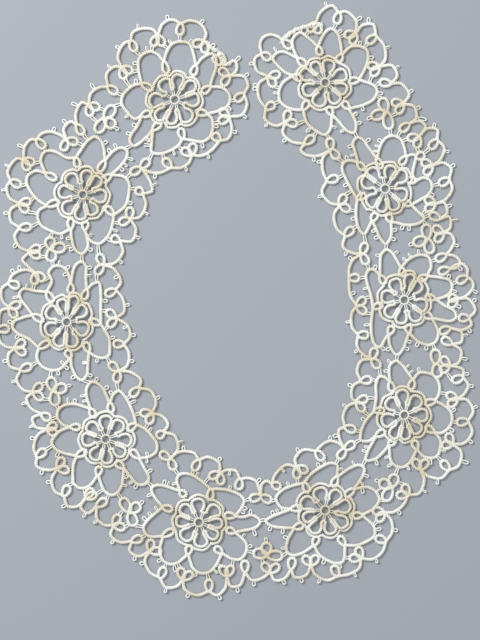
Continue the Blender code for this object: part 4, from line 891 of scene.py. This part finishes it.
def join_rings(works):
    """Bare threads from the far end of each edging and trefoil ring to what it faces, or a free loop."""
    stitches = {name: np.vstack(work.stitched) for name, work in works.items()}
    for name, work in works.items():
        if name.startswith("arches"):
            continue
        others = np.vstack([points for other, points in stitches.items() if other != name])
        for place, (end, along) in enumerate(work.ring_ends):
            if name.startswith("trefoil") and place == FREE_RING and len(work.ring_ends) == FULL_TREFOIL:
                work.loop(end, along * PICOT_LEAST)
                continue
            ways = others - end
            gaps = np.linalg.norm(ways, axis=1) - CHAIN_HALF_WIDTH - RING_HALF_WIDTH
            if gaps.min() < JOIN_LEAST:
                continue
            facing = ways @ along > JOIN_FACING * np.linalg.norm(ways, axis=1)
            gaps[~facing] = np.inf
            nearest = gaps.argmin()
            if gaps[nearest] < JOIN_MOST:
                work.join(end, others[nearest])


def give_age_and_shade(works, pieces):
    """How crowded the threads are round each point, and how deep it lies, kept on the meshes as the
    colour's darkening: painted shade, with some yellowing where crowded.
    """
    samples = np.vstack([line[::CROWD_EVERY] for work in works.values() for line in work.lines])
    tree = KDTree(len(samples))
    for index, point in enumerate(samples):
        tree.insert(Vector(point), index)
    tree.balance()
    for name, piece in pieces.items():
        middles = np.vstack(works[name].middles)
        shade_and_age = np.empty(len(middles), np.float32)
        last, neighbours = None, 0
        for index, middle in enumerate(middles):
            key = middle.tobytes()
            if key != last:
                neighbours = len(tree.find_range(Vector(middle), CROWD_REACH))
                last = key
            shade_and_age[index] = neighbours
        # Painted shade: the crowding, with some yellowing, and the grooves between stitches darken the
        # cotton's colour
        shade_and_age = np.clip((shade_and_age - CROWD_FROM) / (CROWD_TO - CROWD_FROM), 0, 1) * CROWD_SHADE_AND_AGE_SHARE
        shade_and_age += np.concatenate(works[name].grooves) * GROOVE_SHARE
        attribute = piece.data.attributes.new("age", "FLOAT", "POINT")
        attribute.data.foreach_set("value", shade_and_age)


def new_node(nodes, kind, values):
    """A shader node with the values of its inputs."""
    node = nodes.new(kind)
    for name, value in values.items():
        node.inputs[name].default_value = value
    return node


def cotton():
    """Aged ivory cotton with painted shade: darker where threads are crowded and in the grooves, with a
    fine fuzz in the bump.
    """
    material = bpy.data.materials.new("ivory_cotton")
    material.use_nodes = True
    nodes, links = material.node_tree.nodes, material.node_tree.links
    place = nodes.new("ShaderNodeTexCoord")
    age = nodes.new("ShaderNodeAttribute")
    age.attribute_name = "age"

    patches = new_node(nodes, "ShaderNodeTexNoise", {"Scale": PATCH_SCALE, "Detail": PATCH_DETAIL})
    patch_age = new_node(nodes, "ShaderNodeMapRange", {
        "From Min": PATCH_NOISE[0],
        "From Max": PATCH_NOISE[1],
        "To Min": PATCH_AGE[0],
        "To Max": PATCH_AGE[1],
    })
    total = nodes.new("ShaderNodeMath")
    total.operation = "ADD"
    # The ramp's dark end is aged cotton and painted shade
    ramp = nodes.new("ShaderNodeValToRGB")
    ramp.color_ramp.elements[0].color = NEW_COTTON
    ramp.color_ramp.elements[1].color = AGED_AND_SHADED_COTTON
    links.new(place.outputs["Object"], patches.inputs["Vector"])
    links.new(patches.outputs["Fac"], patch_age.inputs["Value"])
    links.new(age.outputs["Fac"], total.inputs[0])
    links.new(patch_age.outputs["Result"], total.inputs[1])
    links.new(total.outputs["Value"], ramp.inputs["Fac"])

    fuzz = new_node(nodes, "ShaderNodeTexNoise", {"Scale": FUZZ_SCALE, "Detail": FUZZ_DETAIL})
    bump = new_node(nodes, "ShaderNodeBump", {"Strength": FUZZ_STRENGTH, "Distance": FUZZ_DEPTH})
    links.new(place.outputs["Object"], fuzz.inputs["Vector"])
    links.new(fuzz.outputs["Fac"], bump.inputs["Height"])

    shader = nodes["Principled BSDF"]
    shader.inputs["Roughness"].default_value = COTTON_ROUGHNESS
    shader.inputs["Sheen Weight"].default_value = COTTON_SHEEN
    shader.inputs["Specular IOR Level"].default_value = COTTON_GLOSS
    links.new(ramp.outputs["Color"], shader.inputs["Base Color"])
    links.new(bump.outputs["Normal"], shader.inputs["Normal"])
    return material


def floor():
    """A plain pale floor."""
    mesh = bpy.data.meshes.new("floor")
    corners = [(-1, -1), (1, -1), (1, 1), (-1, 1)]
    mesh.from_pydata([(x * FLOOR_HALF, y * FLOOR_HALF, 0) for x, y in corners], [], [(0, 1, 2, 3)])
    material = bpy.data.materials.new("pale_floor")
    material.use_nodes = True
    shader = material.node_tree.nodes["Principled BSDF"]
    shader.inputs["Base Color"].default_value = FLOOR_COLOUR
    shader.inputs["Roughness"].default_value = FLOOR_ROUGHNESS
    mesh.materials.append(material)
    plane = bpy.data.objects.new("floor", mesh)
    bpy.context.scene.collection.objects.link(plane)


def light(lamp):
    """A square lamp that faces the origin."""
    data = bpy.data.lights.new(lamp.name, "AREA")
    data.size = lamp.size
    data.energy = lamp.power
    source = bpy.data.objects.new(lamp.name, data)
    source.location = lamp.place
    source.rotation_euler = (-Vector(lamp.place)).to_track_quat("-Z", "Y").to_euler()
    bpy.context.scene.collection.objects.link(source)


def sky():
    """Even light from all around."""
    world = bpy.data.worlds.new("studio")
    world.use_nodes = True
    background = world.node_tree.nodes["Background"]
    background.inputs["Color"].default_value = SKY_COLOUR
    background.inputs["Strength"].default_value = SKY_STRENGTH
    bpy.context.scene.world = world


def camera():
    """The photo's view, straight down."""
    data = bpy.data.cameras.new("camera")
    data.sensor_fit = "VERTICAL"
    data.sensor_height = SENSOR_MM
    data.lens = SENSOR_MM * CAMERA_HEIGHT / VIEW_HEIGHT
    viewer = bpy.data.objects.new("camera", data)
    viewer.location = (*plan(VIEW_SQUARE), CAMERA_HEIGHT)
    bpy.context.scene.collection.objects.link(viewer)
    bpy.context.scene.camera = viewer


parts = []
for medallion in MEDALLIONS:
    parts += [flower(medallion), arches(medallion)]
parts += [trefoil_rings(trefoil) for trefoil in TREFOILS]
parts += [edging(stretch, after) for stretch, after in zip(STRETCHES, STRETCHES[1:] + STRETCHES[:1])]
works = {work.name: work for work in parts}
for name, tips in PICOTS.items():
    for tip in tips:
        works[name].picot(tip)
join_rings(works)

COTTON = cotton()
pieces = {name: work.build(f"{name}_thread", COTTON) for name, work in works.items()}
give_age_and_shade(works, pieces)

for name, piece in pieces.items():
    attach(piece, "root")
    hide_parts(name)
    wide, long = works[name].flat()

floor()
for lamp in LAMPS:
    light(lamp)
sky()
camera()
bpy.context.scene.view_settings.view_transform = "Standard"

bpy.context.view_layer.update()
